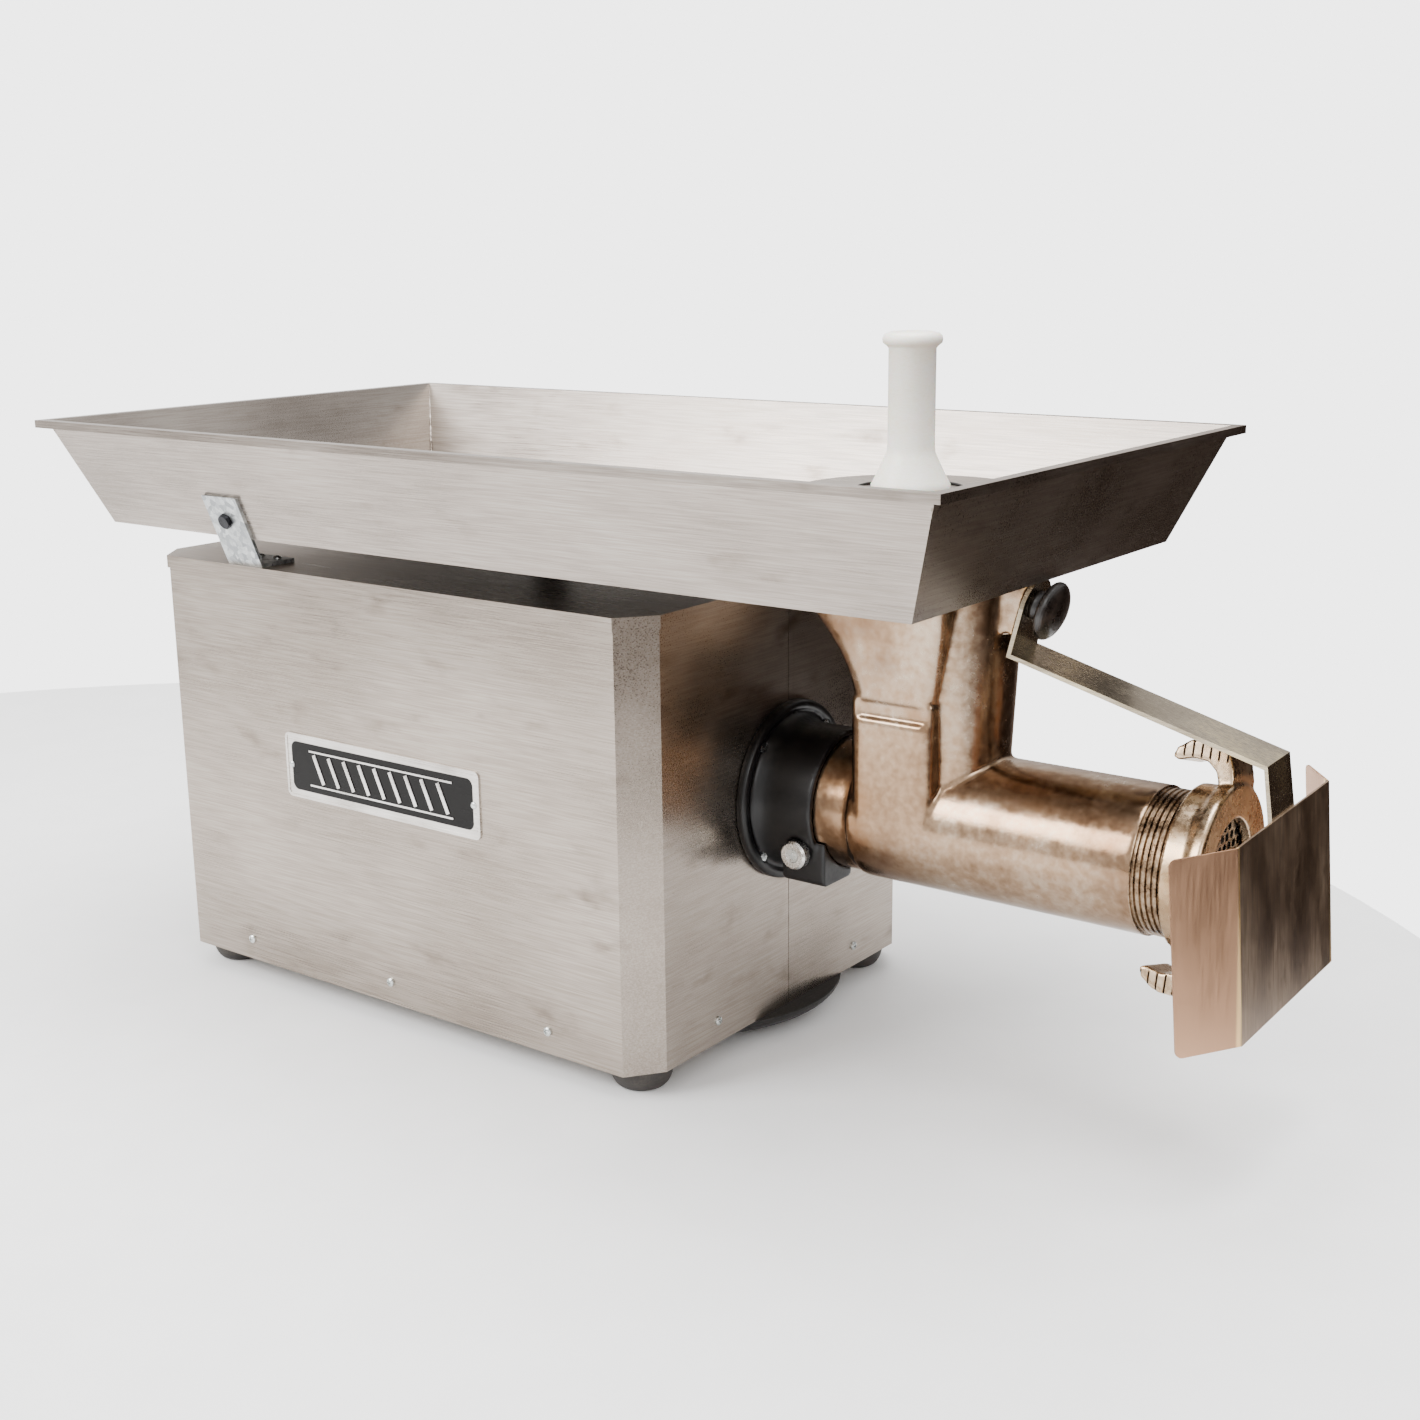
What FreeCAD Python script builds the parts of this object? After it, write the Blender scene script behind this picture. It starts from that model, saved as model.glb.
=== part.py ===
"""Electric meat grinder with a No. 22 head, built as separate solids, one STEP file each.

Frame: +X runs forward along the barrel, +Y is the side with the push buttons, +Z is up.
The origin lies on the table under the barrel axis, over the middle of the round front rest.
All sizes are in millimetres.
"""
import FreeCAD, Part
import math
import os

# ---- overall sizes -------------------------------------------------------------------------
CASE_LENGTH = 512.0
CASE_WIDTH = 365.0
CASE_HEIGHT = 338.0
FOOT_HEIGHT = 20.0
AXIS_RISE = 177.0            # barrel axis above the underside of the casing

# ---- sheet metal casing --------------------------------------------------------------------
SHEET = 1.5
CORNER_CUT_X = 20.0
CORNER_CUT_Y = 26.0
LID_SKIRT = 10.0
SEAM_GAP = 0.6
PAN_THICKNESS = 3.0
PAN_WALL = 2.0
PAN_FLANGE = 26.0
PAN_SCREW_RISE = 18.0        # casing screws above the underside of the casing
SIDE_SCREW_PITCH = 165.0
END_SCREW_PITCH = 188.0
VENT_LENGTH = 60.0
VENT_SLOT = 5.0
VENT_PITCH = 14.0
VENT_ROWS = 8
VENT_COLUMN_OFFSET = 70.0
VENT_RISE = 110.0
PLATE_LENGTH = 211.0
PLATE_HEIGHT = 53.0
PLATE_THICKNESS = 0.8
PLATE_BORDER = 2.2
PLATE_RISE = 181.5           # middle of the nameplate above the underside of the casing

# ---- feet ----------------------------------------------------------------------------------
FOOT_RADIUS = 24.5
FOOT_TREAD = 15.0
FOOT_INSET_X = 31.5
FOOT_INSET_Y = 36.0
REST_FOOT_RADIUS = 118.0
REST_FOOT_TREAD = 62.0
REST_FOOT_SETBACK = 101.0    # its centre behind the front face
REST_FOOT_SHIFT = 15.0

# ---- grinder head (No. 22: 82 mm plate) ----------------------------------------------------
PLATE_82 = 82.0
BORE_CLEARANCE = 0.5
BARREL_RADIUS = 51.75
THREAD_RADIUS = 50.3
THREAD_PITCH = 4.0
THREAD_DEPTH = 1.6
THREAD_START = 304.0         # these run forward from the front face of the casing
HEAD_END = 340.0
BLOCK_START = 85.0
BLOCK_END = 154.0
COLLAR_START = 50.0
COLLAR_RADIUS = 49.5
CHAMBER_START = 98.0
THROAT_FRONT = 181.0         # front of the throat tube where it leaves the barrel
THROAT_LEAN = 10.0           # how far the front moves forward up to the tray
THROAT_BACK_FLARE = 66.0     # how far the back moves rearward up to the tray
THROAT_WALL = 8.0
THROAT_SINK = 1.2            # ledge between the block and the flare above it
BLOCK_HALF = 52.0
TUBE_RADIUS = 40.0
TUBE_FLARE = 4.0
STEP_RISE = 80.0             # recessed step on the block above the barrel axis
STEP_HEIGHT = 14.0
STEP_DEPTH = 3.0
PLATE_FACE = 10.0
PLATE_HOLE = 6.0
PLATE_HOLE_PITCH = 8.0
PLATE_BOSS = 9.0

# ---- ring nut ------------------------------------------------------------------------------
NUT_START = 325.5
NUT_HUB_RADIUS = 56.5
NUT_FACE_RADIUS = 61.0
NUT_LIP = 9.0
NUT_LIP_RADIUS = 37.0
NUT_LUG_RADIUS = 87.0
NUT_LUG_BACK = 17.5
NUT_LUG_WIDTH = 40.0
NUT_LUG_TURN = -16.0         # how far the lugs lean from upright towards -Y, in degrees

# ---- drive line ----------------------------------------------------------------------------
GEAR_TEETH = 50
PINION_TEETH = 17
MODULE_SLOW = 2.5
MODULE_FAST = 2.0
FACE_SLOW = 24.0
FACE_FAST = 18.0
TOOTH_GAP = 0.35             # side clearance of a tooth in its gap
ROTOR_DROP = 85.0            # motor axis below the barrel axis
GEARBOX_DEPTH = 144.0
COVER_THICKNESS = 20.0
GEARBOX_WALL = 8.0
GEARBOX_MARGIN = 6.0
SHAFT_CLEARANCE = 0.05
FOOT_PAD = 9.0               # thickness of the feet under the gearbox and the motor cradle
OUTPUT_SHAFT = 17.5
OUTPUT_NOSE = 20.0
COUNTER_SHAFT = 12.5
ROTOR_SHAFT = 12.5
MOTOR_RADIUS = 76.0
STATOR_LENGTH = 150.0
BELL_LENGTH = 26.0
AIR_GAP = 0.6
ROTOR_RADIUS = 42.0
FAN_RADIUS = 66.0
WORM_CORE = 17.0
WORM_PITCH = 44.0
WORM_FLIGHT = 6.0
SQUARE_DRIVE = 12.0

# ---- head clamp ----------------------------------------------------------------------------
FLANGE_RADIUS = 69.4
FLANGE_RIM = 6.5
NECK_RADIUS = 55.0
CLAMP_SETOUT = 41.0          # clamp screw forward of the front face
CLAMP_DROP = 32.0
CLAMP_HEAD = 10.8
CLAMP_HEAD_LENGTH = 9.0
CLAMP_FACE = 56.0            # outer end of the clamp screw from the middle plane

# ---- discharge guard -----------------------------------------------------------------------
KNOB_SETOUT = 221.5          # knob centre forward of the front face
KNOB_RISE = 160.0            # knob centre above the barrel axis
KNOB_RADIUS = 21.0
KNOB_BLIND = 2.5             # end of the knob's blind bore, behind its centre
GUARD_TILT = 15.3            # slope of the long strap leg, in degrees
GUARD_SWING = 2.1            # how far the guard hangs off upright at rest
STRAP_WIDTH = 38.5
STRAP_THICKNESS = 3.0
STRAP_PLAY = 0.3             # gap on each side of the strap, to the boss and to the knob
STRAP_BEND_SETOUT = 196.0
STRAP_BEND_RISE = 132.5
STRAP_LENGTH = 190.0
GUARD_WIDTH = 159.0
GUARD_HEIGHT = 130.0
GUARD_WING = 46.0
GUARD_WING_ANGLE = 52.0
GUARD_PITCH = 4.0
GUARD_THICKNESS = 1.5
GUARD_TOP_SETOUT = 384.0
GUARD_TOP_RISE = 47.0
GUARD_CORNER = 5.0

# ---- feed tray -----------------------------------------------------------------------------
TRAY_GAP = 23.0              # tray floor above the lid
TRAY_DEPTH = 86.0
TRAY_FRONT_TOP = 251.5       # forward of the front face
TRAY_FRONT_FLOOR = 216.9
TRAY_BACK_TOP = 74.8         # behind the rear face
TRAY_BACK_FLOOR = 42.5
TRAY_HALF_TOP = 220.8
TRAY_HALF_FLOOR = 186.7
RIM_OUT = 6.8
RIM_DOWN = 6.1
BRACKET_SETBACK = 398.5      # bracket middle behind the front face
BRACKET_WIDTH = 40.0
BRACKET_THICKNESS = 3.0
BRACKET_RISE = 34.0          # bracket top above the tray floor
BRACKET_BOLT_RISE = 16.0
BRACKET_FOOT = 30.0

# ---- feed shield and stomper ---------------------------------------------------------------
FEED_SETOUT = 104.0          # feed hole centre forward of the front face
SHIELD_RADIUS = 84.0
SHIELD_RISE = 53.0
SHIELD_POST_RADIUS = 4.0
SHIELD_POST_CIRCLE = 66.0
SHIELD_HOLE = 24.0
SHIELD_RING = 37.25
PLUNGER_RADIUS = 22.0
PLUNGER_LENGTH = 112.0
STOMPER_FLARE = 28.0
STOMPER_GRIP = 16.6
STOMPER_HEAD = 21.0
STOMPER_RISE = 109.5

# ---- push buttons, wiring ------------------------------------------------------------------
SWITCH_SETBACK = 150.0       # behind the front face
SWITCH_RISE = 245.0
SWITCH_WIDTH = 78.0
SWITCH_HEIGHT = 118.0
SWITCH_PLATE = 3.0
BUTTON_RADIUS = 13.0
BUTTON_SPREAD = 25.0
BUTTON_OUT = 7.0
GLAND_Y = 95.0
GLAND_RISE = 45.0
GLAND_RADIUS = 10.0

# ---- derived places ------------------------------------------------------------------------
FRONT = REST_FOOT_SETBACK
REAR = FRONT - CASE_LENGTH
MIDDLE = (FRONT + REAR) / 2
SIDE = CASE_WIDTH / 2
CASE_BOTTOM = FOOT_HEIGHT
CASE_TOP = CASE_BOTTOM + CASE_HEIGHT
AXIS_Z = CASE_BOTTOM + AXIS_RISE
TRAY_FLOOR = CASE_TOP + TRAY_GAP
TRAY_TOP = TRAY_FLOOR + TRAY_DEPTH
BORE = PLATE_82 / 2 + BORE_CLEARANCE
SLOW_CENTRES = MODULE_SLOW * (GEAR_TEETH + PINION_TEETH) / 2
FAST_CENTRES = MODULE_FAST * (GEAR_TEETH + PINION_TEETH) / 2
ROTOR_Z = AXIS_Z - ROTOR_DROP
COUNTER_DROP = (ROTOR_DROP ** 2 + SLOW_CENTRES ** 2 - FAST_CENTRES ** 2) / (2 * ROTOR_DROP)
COUNTER_Y = math.sqrt(SLOW_CENTRES ** 2 - COUNTER_DROP ** 2)
COUNTER_Z = AXIS_Z - COUNTER_DROP
COVER_BACK = FRONT - SHEET - COVER_THICKNESS
COVER_FRONT = FRONT - SHEET
GEARBOX_BACK = COVER_FRONT - GEARBOX_DEPTH
PAN_INSET = SHEET + 0.2
DRIVE_LENGTH = COVER_BACK - GEARBOX_BACK
BEARING_WIDTH = 16.0
BEARING_WALL = 2.0           # metal left behind a bearing seat
KNOB_AXIS = FreeCAD.Vector(math.cos(math.radians(GUARD_TILT)), 0,
                           -math.sin(math.radians(GUARD_TILT)))
BRACKET_X = FRONT - BRACKET_SETBACK
KNOB_CENTRE = FreeCAD.Vector(FRONT + KNOB_SETOUT, 0, AXIS_Z + KNOB_RISE)

X_AXIS = FreeCAD.Vector(1, 0, 0)
Y_AXIS = FreeCAD.Vector(0, 1, 0)
Z_AXIS = FreeCAD.Vector(0, 0, 1)


# ---- small builders ------------------------------------------------------------------------
def vec(x, y, z):
    """Shorthand for a FreeCAD vector."""
    return FreeCAD.Vector(x, y, z)


def box(x0, x1, y0, y1, z0, z1):
    """Box between two corners."""
    return Part.makeBox(x1 - x0, y1 - y0, z1 - z0, vec(x0, y0, z0))


def rod(x0, x1, radius, y, z):
    """Cylinder along X."""
    return Part.makeCylinder(radius, x1 - x0, vec(x0, y, z), X_AXIS)


def post(z0, z1, radius, x, y):
    """Cylinder along Z."""
    return Part.makeCylinder(radius, z1 - z0, vec(x, y, z0), Z_AXIS)


def ring(x0, x1, outer, inner, y, z):
    """Tube along X."""
    return rod(x0, x1, outer, y, z).cut(rod(x0 - 1, x1 + 1, inner, y, z))


def moved(shape, origin, direction):
    """Copy of a shape drawn along +X, turned to a direction and put at an origin."""
    placed = shape.copy()
    placed.Placement = FreeCAD.Placement(origin, FreeCAD.Rotation(X_AXIS, direction))
    return placed


def spun(profile):
    """Solid of revolution about X from (along, radius) corner points."""
    corners = [vec(along, 0, radius) for along, radius in profile]
    wire = Part.makePolygon(corners + corners[:1])
    return Part.Face(wire).revolve(vec(0, 0, 0), X_AXIS, 360)


def arc(middle, radii, first, last, steps):
    """Points on an ellipse arc as (along, radius), angles in degrees."""
    points = []
    for step in range(steps + 1):
        angle = math.radians(first + (last - first) * step / steps)
        points.append((middle[0] + radii[0] * math.cos(angle), middle[1] + radii[1] * math.sin(angle)))
    return points


def prism(points, z0, z1):
    """Upright prism over (x, y) corner points."""
    corners = [vec(x, y, z0) for x, y in points]
    wire = Part.makePolygon(corners + corners[:1])
    return Part.Face(wire).extrude(vec(0, 0, z1 - z0))


def side_prism(points, y0, y1):
    """Prism along Y over (x, z) corner points."""
    corners = [vec(x, y0, z) for x, z in points]
    wire = Part.makePolygon(corners + corners[:1])
    return Part.Face(wire).extrude(vec(0, y1 - y0, 0))


def joined(shapes):
    """Fuse a list of shapes into one clean shape."""
    whole = shapes[0].multiFuse(shapes[1:]) if len(shapes) > 1 else shapes[0]
    return whole.removeSplitter()


def cut_all(shape, tools):
    """Cut a list of tools from a shape."""
    return shape.cut(Part.makeCompound(tools)) if tools else shape


def casing_outline(inset, z0, z1):
    """Prism with the casing's chamfered corners, set in by a distance."""
    x = CASE_LENGTH / 2 - inset
    y = SIDE - inset
    cut_x = CORNER_CUT_X - inset * 0.6
    cut_y = CORNER_CUT_Y - inset * 0.6
    points = [(x - cut_x, -y), (x, -y + cut_y), (x, y - cut_y), (x - cut_x, y)]
    points += [(-px, py) for px, py in reversed(points)]
    return prism([(MIDDLE + px, py) for px, py in points], z0, z1)


def save(name, shape):
    """Write one sub-part and report its volume."""
    solids = len(shape.Solids)
    assert shape.isValid() and solids > 0 and shape.Volume > 0, name
    shape.exportStep("parts/" + name + ".step")
    print(f"{name:28s} {solids:3d} solid {shape.Volume / 1000:10.2f} cm3")


# ---- fasteners -----------------------------------------------------------------------------
def pan_screw(head, height, shank, length):
    """Cross-recess screw along +X, the underside of its head at the origin."""
    crown = arc((0, 0), (height, head), 0, 60, 5)
    solid = spun([(-length, 0)] + crown + [(0, crown[-1][1]), (0, shank), (-length, shank)])
    slot = head * 0.55
    recess = [box(height * 0.4, height + 1, -slot, slot, -0.5, 0.5),
              box(height * 0.4, height + 1, -0.5, 0.5, -slot, slot)]
    return cut_all(solid, recess)


def hex_bolt(across, height, shank, length):
    """Hexagon bolt along +X, the underside of its head at the origin."""
    reach = across / math.sqrt(3)
    corners = [vec(0, reach * math.cos(math.radians(60 * i)), reach * math.sin(math.radians(60 * i)))
               for i in range(6)]
    head = Part.Face(Part.makePolygon(corners + corners[:1])).extrude(vec(height, 0, 0))
    crown = Part.makeCone(reach + height, reach * 0.86, height + 0.01, vec(0, 0, 0), X_AXIS)
    return joined([head.common(crown), rod(-length, 0.5, shank, 0, 0)])


def case_screw_places():
    """Places and outward directions of the screws that hold the casing to its pan."""
    z = CASE_BOTTOM + PAN_SCREW_RISE
    places = []
    for side in (-1, 1):
        places += [(vec(MIDDLE + step * SIDE_SCREW_PITCH, side * SIDE, z), vec(0, side, 0))
                   for step in (-1, 0, 1)]
        end = FRONT if side > 0 else REAR
        places += [(vec(end, step * END_SCREW_PITCH / 2, z), vec(side, 0, 0)) for step in (-1, 1)]
    return places


def drill(origin, direction, radius, depth):
    """Hole tool that starts a little outside and runs inward against a direction."""
    start = origin + direction * 4
    return Part.makeCylinder(radius, depth + 4, start, direction * -1)


# ---- casing --------------------------------------------------------------------------------
def foot_places():
    """Centres of the four corner feet."""
    front = FRONT - FOOT_INSET_X
    rear = REAR + FOOT_INSET_X
    y = SIDE - FOOT_INSET_Y
    return {"front_near": (front, -y), "front_far": (front, y),
            "rear_near": (rear, -y), "rear_far": (rear, y)}


def gearbox_bounds():
    """Outer bounds (y0, y1, z0, z1) that clear every gear by the margin and the wall."""
    room = GEARBOX_MARGIN + GEARBOX_WALL
    slow = MODULE_SLOW * (GEAR_TEETH + 2) / 2
    fast = MODULE_FAST * (GEAR_TEETH + 2) / 2
    return (-slow - room, COUNTER_Y + fast + room, COUNTER_Z - fast - room, AXIS_Z + slow + room)


def flange_bolt_places():
    """Bolts that hold the head flange to the gearbox cover."""
    radius = (FLANGE_RADIUS - FLANGE_RIM + NECK_RADIUS) / 2 + 1.5
    return [(radius * math.cos(math.radians(a)), AXIS_Z + radius * math.sin(math.radians(a)))
            for a in (45, 135, 225, 315)]


def make_casing():
    """Wrap, lid, pan and the screws between them."""
    wrap = casing_outline(0, CASE_BOTTOM, CASE_TOP - SHEET)
    wrap = wrap.cut(casing_outline(SHEET, CASE_BOTTOM - 1, CASE_TOP))
    tools = [box(FRONT - SHEET - 1, FRONT + 1, -SEAM_GAP / 2, SEAM_GAP / 2, CASE_BOTTOM - 1, CASE_TOP),
             rod(FRONT - 4, FRONT + 4, OUTPUT_NOSE + 8, 0, AXIS_Z)]
    tools += [rod(FRONT - 4, FRONT + 4, 4.1, y, z) for y, z in flange_bolt_places()]
    for column in (-1, 1):
        for row in range(VENT_ROWS):
            y = column * VENT_COLUMN_OFFSET
            z = CASE_BOTTOM + VENT_RISE + row * VENT_PITCH
            tools.append(box(REAR - 2, REAR + SHEET + 2, y - VENT_LENGTH / 2, y + VENT_LENGTH / 2,
                             z, z + VENT_SLOT))
    switch_x = FRONT - SWITCH_SETBACK
    switch_z = CASE_BOTTOM + SWITCH_RISE
    tools.append(box(switch_x - SWITCH_WIDTH / 2 + 9, switch_x + SWITCH_WIDTH / 2 - 9, SIDE - 4, SIDE + 2,
                     switch_z - SWITCH_HEIGHT / 2 + 12, switch_z + SWITCH_HEIGHT / 2 - 12))
    tools.append(rod(REAR - 3, REAR + 4, GLAND_RADIUS + 0.2, GLAND_Y, CASE_BOTTOM + GLAND_RISE))
    tools += [drill(at, out, 2.1, 8) for at, out in case_screw_places()]
    tools += [drill(at, out, 1.6, 4) for at, out in plate_rivet_places()]
    tools += [drill(at, out, 2.1, 8) for at, out in switch_screw_places()]
    save("casing_wrap", cut_all(wrap, tools))

    skirt = SHEET + 0.2
    lid = casing_outline(-skirt, CASE_TOP - LID_SKIRT, CASE_TOP)
    lid = lid.cut(casing_outline(-0.2, CASE_TOP - LID_SKIRT - 1, CASE_TOP - SHEET))
    save("casing_lid", cut_all(lid, [drill(at, Z_AXIS, 2.1, 8) for at in bracket_screw_places()]))

    pan = casing_outline(PAN_INSET, CASE_BOTTOM, CASE_BOTTOM + PAN_FLANGE)
    pan = pan.cut(casing_outline(PAN_INSET + PAN_WALL, CASE_BOTTOM + PAN_THICKNESS, CASE_TOP))
    tools = [drill(at, out, 2.1, 9) for at, out in case_screw_places()]
    tools += [post(0, CASE_BOTTOM + 9, 4.2, x, y) for x, y in foot_places().values()]
    tools.append(post(0, CASE_BOTTOM + 9, 5.2, FRONT - REST_FOOT_SETBACK, REST_FOOT_SHIFT))
    tools += [post(0, CASE_BOTTOM + 9, 4.2, x, y) for x, y in gearbox_foot_places() + cradle_foot_places()]
    gland_hole = rod(REAR - 3, REAR + 9, GLAND_RADIUS + 6, GLAND_Y, CASE_BOTTOM + GLAND_RISE)
    save("base_pan", cut_all(pan, tools + [gland_hole]))

    places = case_screw_places()
    places += [(at + Y_AXIS * SWITCH_PLATE, out) for at, out in switch_screw_places()]
    places += [(at + Z_AXIS * BRACKET_THICKNESS, Z_AXIS) for at in bracket_screw_places()]
    screw = pan_screw(4.0, 2.6, 2.0, 7.5)
    save("casing_screws", Part.makeCompound([moved(screw, at, out) for at, out in places]))


def foot_screws():
    """Screws that hold the five feet to the pan from below."""
    small = joined([rod(5, 10, 7, 0, 0), rod(9, FOOT_HEIGHT + 8, 4, 0, 0)])
    large = joined([rod(6, 12, 9, 0, 0), rod(11, FOOT_HEIGHT + 8, 5, 0, 0)])
    screws = [moved(small, vec(x, y, 0), Z_AXIS) for x, y in foot_places().values()]
    return screws + [moved(large, vec(FRONT - REST_FOOT_SETBACK, REST_FOOT_SHIFT, 0), Z_AXIS)]


def make_feet():
    """Four corner feet and the round front rest."""
    profile = arc((0, 0), (FOOT_HEIGHT, FOOT_RADIUS - FOOT_TREAD), 180, 90, 8)
    outline = [(along + FOOT_HEIGHT, radius + FOOT_TREAD) for along, radius in profile]
    foot = spun([(0, 0)] + outline + [(FOOT_HEIGHT, 0)])
    hole = joined([rod(-1, 10.2, 7.3, 0, 0), rod(5, FOOT_HEIGHT + 9, 4.2, 0, 0)])
    for name, (x, y) in foot_places().items():
        save("foot_" + name, moved(foot.cut(hole), vec(x, y, 0), Z_AXIS))

    profile = arc((0, 0), (FOOT_HEIGHT, REST_FOOT_RADIUS - REST_FOOT_TREAD), 180, 90, 12)
    outline = [(along + FOOT_HEIGHT, radius + REST_FOOT_TREAD) for along, radius in profile]
    rest = spun([(0, 0)] + outline + [(FOOT_HEIGHT, 0)])
    hole = joined([rod(-1, 12.2, 9.3, 0, 0), rod(5, FOOT_HEIGHT + 9, 5.2, 0, 0)])
    at = vec(FRONT - REST_FOOT_SETBACK, REST_FOOT_SHIFT, 0)
    save("front_rest", moved(rest.cut(hole), at, Z_AXIS))


def plate_rivet_places():
    """Places and outward direction of the nameplate's two rivets."""
    z = CASE_BOTTOM + PLATE_RISE
    reach = PLATE_LENGTH / 2 - 6
    return [(vec(MIDDLE + side * reach, -SIDE, z), vec(0, -1, 0)) for side in (-1, 1)]


def rounded_plate(length, height, radius, thickness):
    """Upright plate with round corners, its back on y = 0 and its face towards -Y."""
    plate = box(-length / 2, length / 2, -thickness, 0, -height / 2, height / 2)
    edges = [edge for edge in plate.Edges if abs(edge.Length - thickness) < 1e-6]
    return plate.makeFillet(radius, edges)


def make_nameplate():
    """Plain nameplate with a raised border, and its rivets."""
    plate = rounded_plate(PLATE_LENGTH, PLATE_HEIGHT, 5, PLATE_THICKNESS + 0.5)
    field = rounded_plate(PLATE_LENGTH - 2 * PLATE_BORDER, PLATE_HEIGHT - 2 * PLATE_BORDER, 3, 2)
    field.translate(vec(0, -PLATE_THICKNESS, 0))
    plate = plate.cut(field)
    plate.translate(vec(MIDDLE, -SIDE, CASE_BOTTOM + PLATE_RISE))
    holes = [drill(at, out, 1.6, 6) for at, out in plate_rivet_places()]
    save("nameplate", cut_all(plate, holes))
    crown = arc((PLATE_THICKNESS, 0), (1.4, 2.8), 0, 90, 6)
    rivet = spun([(-4, 0)] + crown + [(PLATE_THICKNESS, 1.5), (-4, 1.5)])
    save("nameplate_rivets", Part.makeCompound([moved(rivet, at, out) for at, out in plate_rivet_places()]))


# ---- gearbox -------------------------------------------------------------------------------
def gear(teeth, module, face, phase):
    """Spur gear along +X from 0 to face; a tooth points along the phase angle from +Y to +Z."""
    pitch = teeth * module / 2
    tip = pitch + module
    root = pitch - 1.25 * module
    half_pitch = math.degrees(math.pi * module / 4 - TOOTH_GAP / 2) / pitch
    lean = math.tan(math.radians(20))
    half_tip = half_pitch - math.degrees(module * lean / pitch)
    half_root = half_pitch + math.degrees(1.25 * module * lean / pitch)
    corners = []
    for tooth in range(teeth):
        middle = phase + 360 * tooth / teeth
        for radius, offset in ((root, -half_root), (tip, -half_tip), (tip, half_tip), (root, half_root)):
            angle = math.radians(middle + offset)
            corners.append(vec(0, radius * math.cos(angle), radius * math.sin(angle)))
    return Part.Face(Part.makePolygon(corners + corners[:1])).extrude(vec(face, 0, 0))


def slow_stage_x():
    """Start of the second gear pair, just behind the cover."""
    return COVER_BACK - 8 - FACE_SLOW


def fast_stage_x():
    """Start of the first gear pair, just ahead of the rear bearings."""
    return GEARBOX_BACK + BEARING_WALL + BEARING_WIDTH + 12


def mesh_angles(y0, z0, y1, z1):
    """Direction from one shaft to the other, in degrees from +Y to +Z."""
    return math.degrees(math.atan2(z1 - z0, y1 - y0))


def gearbox_foot_places():
    """Bolts through the gearbox feet, as (x, y)."""
    y0, y1, z0, z1 = gearbox_bounds()
    return [(x, y) for x in (GEARBOX_BACK + 20, COVER_BACK - 20) for y in (y0 + 22, y1 - 22)]


def cover_bolt_places():
    """Bolts around the gearbox cover, as (y, z)."""
    y0, y1, z0, z1 = gearbox_bounds()
    inset = 9.0
    middle_y = (y0 + y1) / 2
    middle_z = (z0 + z1) / 2
    return [(y0 + inset, z0 + inset), (y1 - inset, z0 + inset), (y0 + inset, z1 - inset),
            (y1 - inset, z1 - inset), (middle_y, z0 + inset - 5), (middle_y, z1 - inset + 5),
            (y0 + inset - 5, middle_z), (y1 - inset + 5, middle_z)]


def bearing(start, outer, inner, y, z):
    """Ball bearing as one ring with a groove between its races on both faces."""
    body = ring(start, start + BEARING_WIDTH, outer, inner, y, z)
    middle = (outer + inner) / 2
    groove = (outer - inner) * 0.14
    tools = [ring(start - 1, start + 1.2, middle + groove, middle - groove, y, z),
             ring(start + BEARING_WIDTH - 1.2, start + BEARING_WIDTH + 1, middle + groove,
                  middle - groove, y, z)]
    return cut_all(body, tools)


OUTPUT_SEAT = 36.0
NOSE_SEAT = 40.0
COUNTER_SEAT = 26.0


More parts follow.
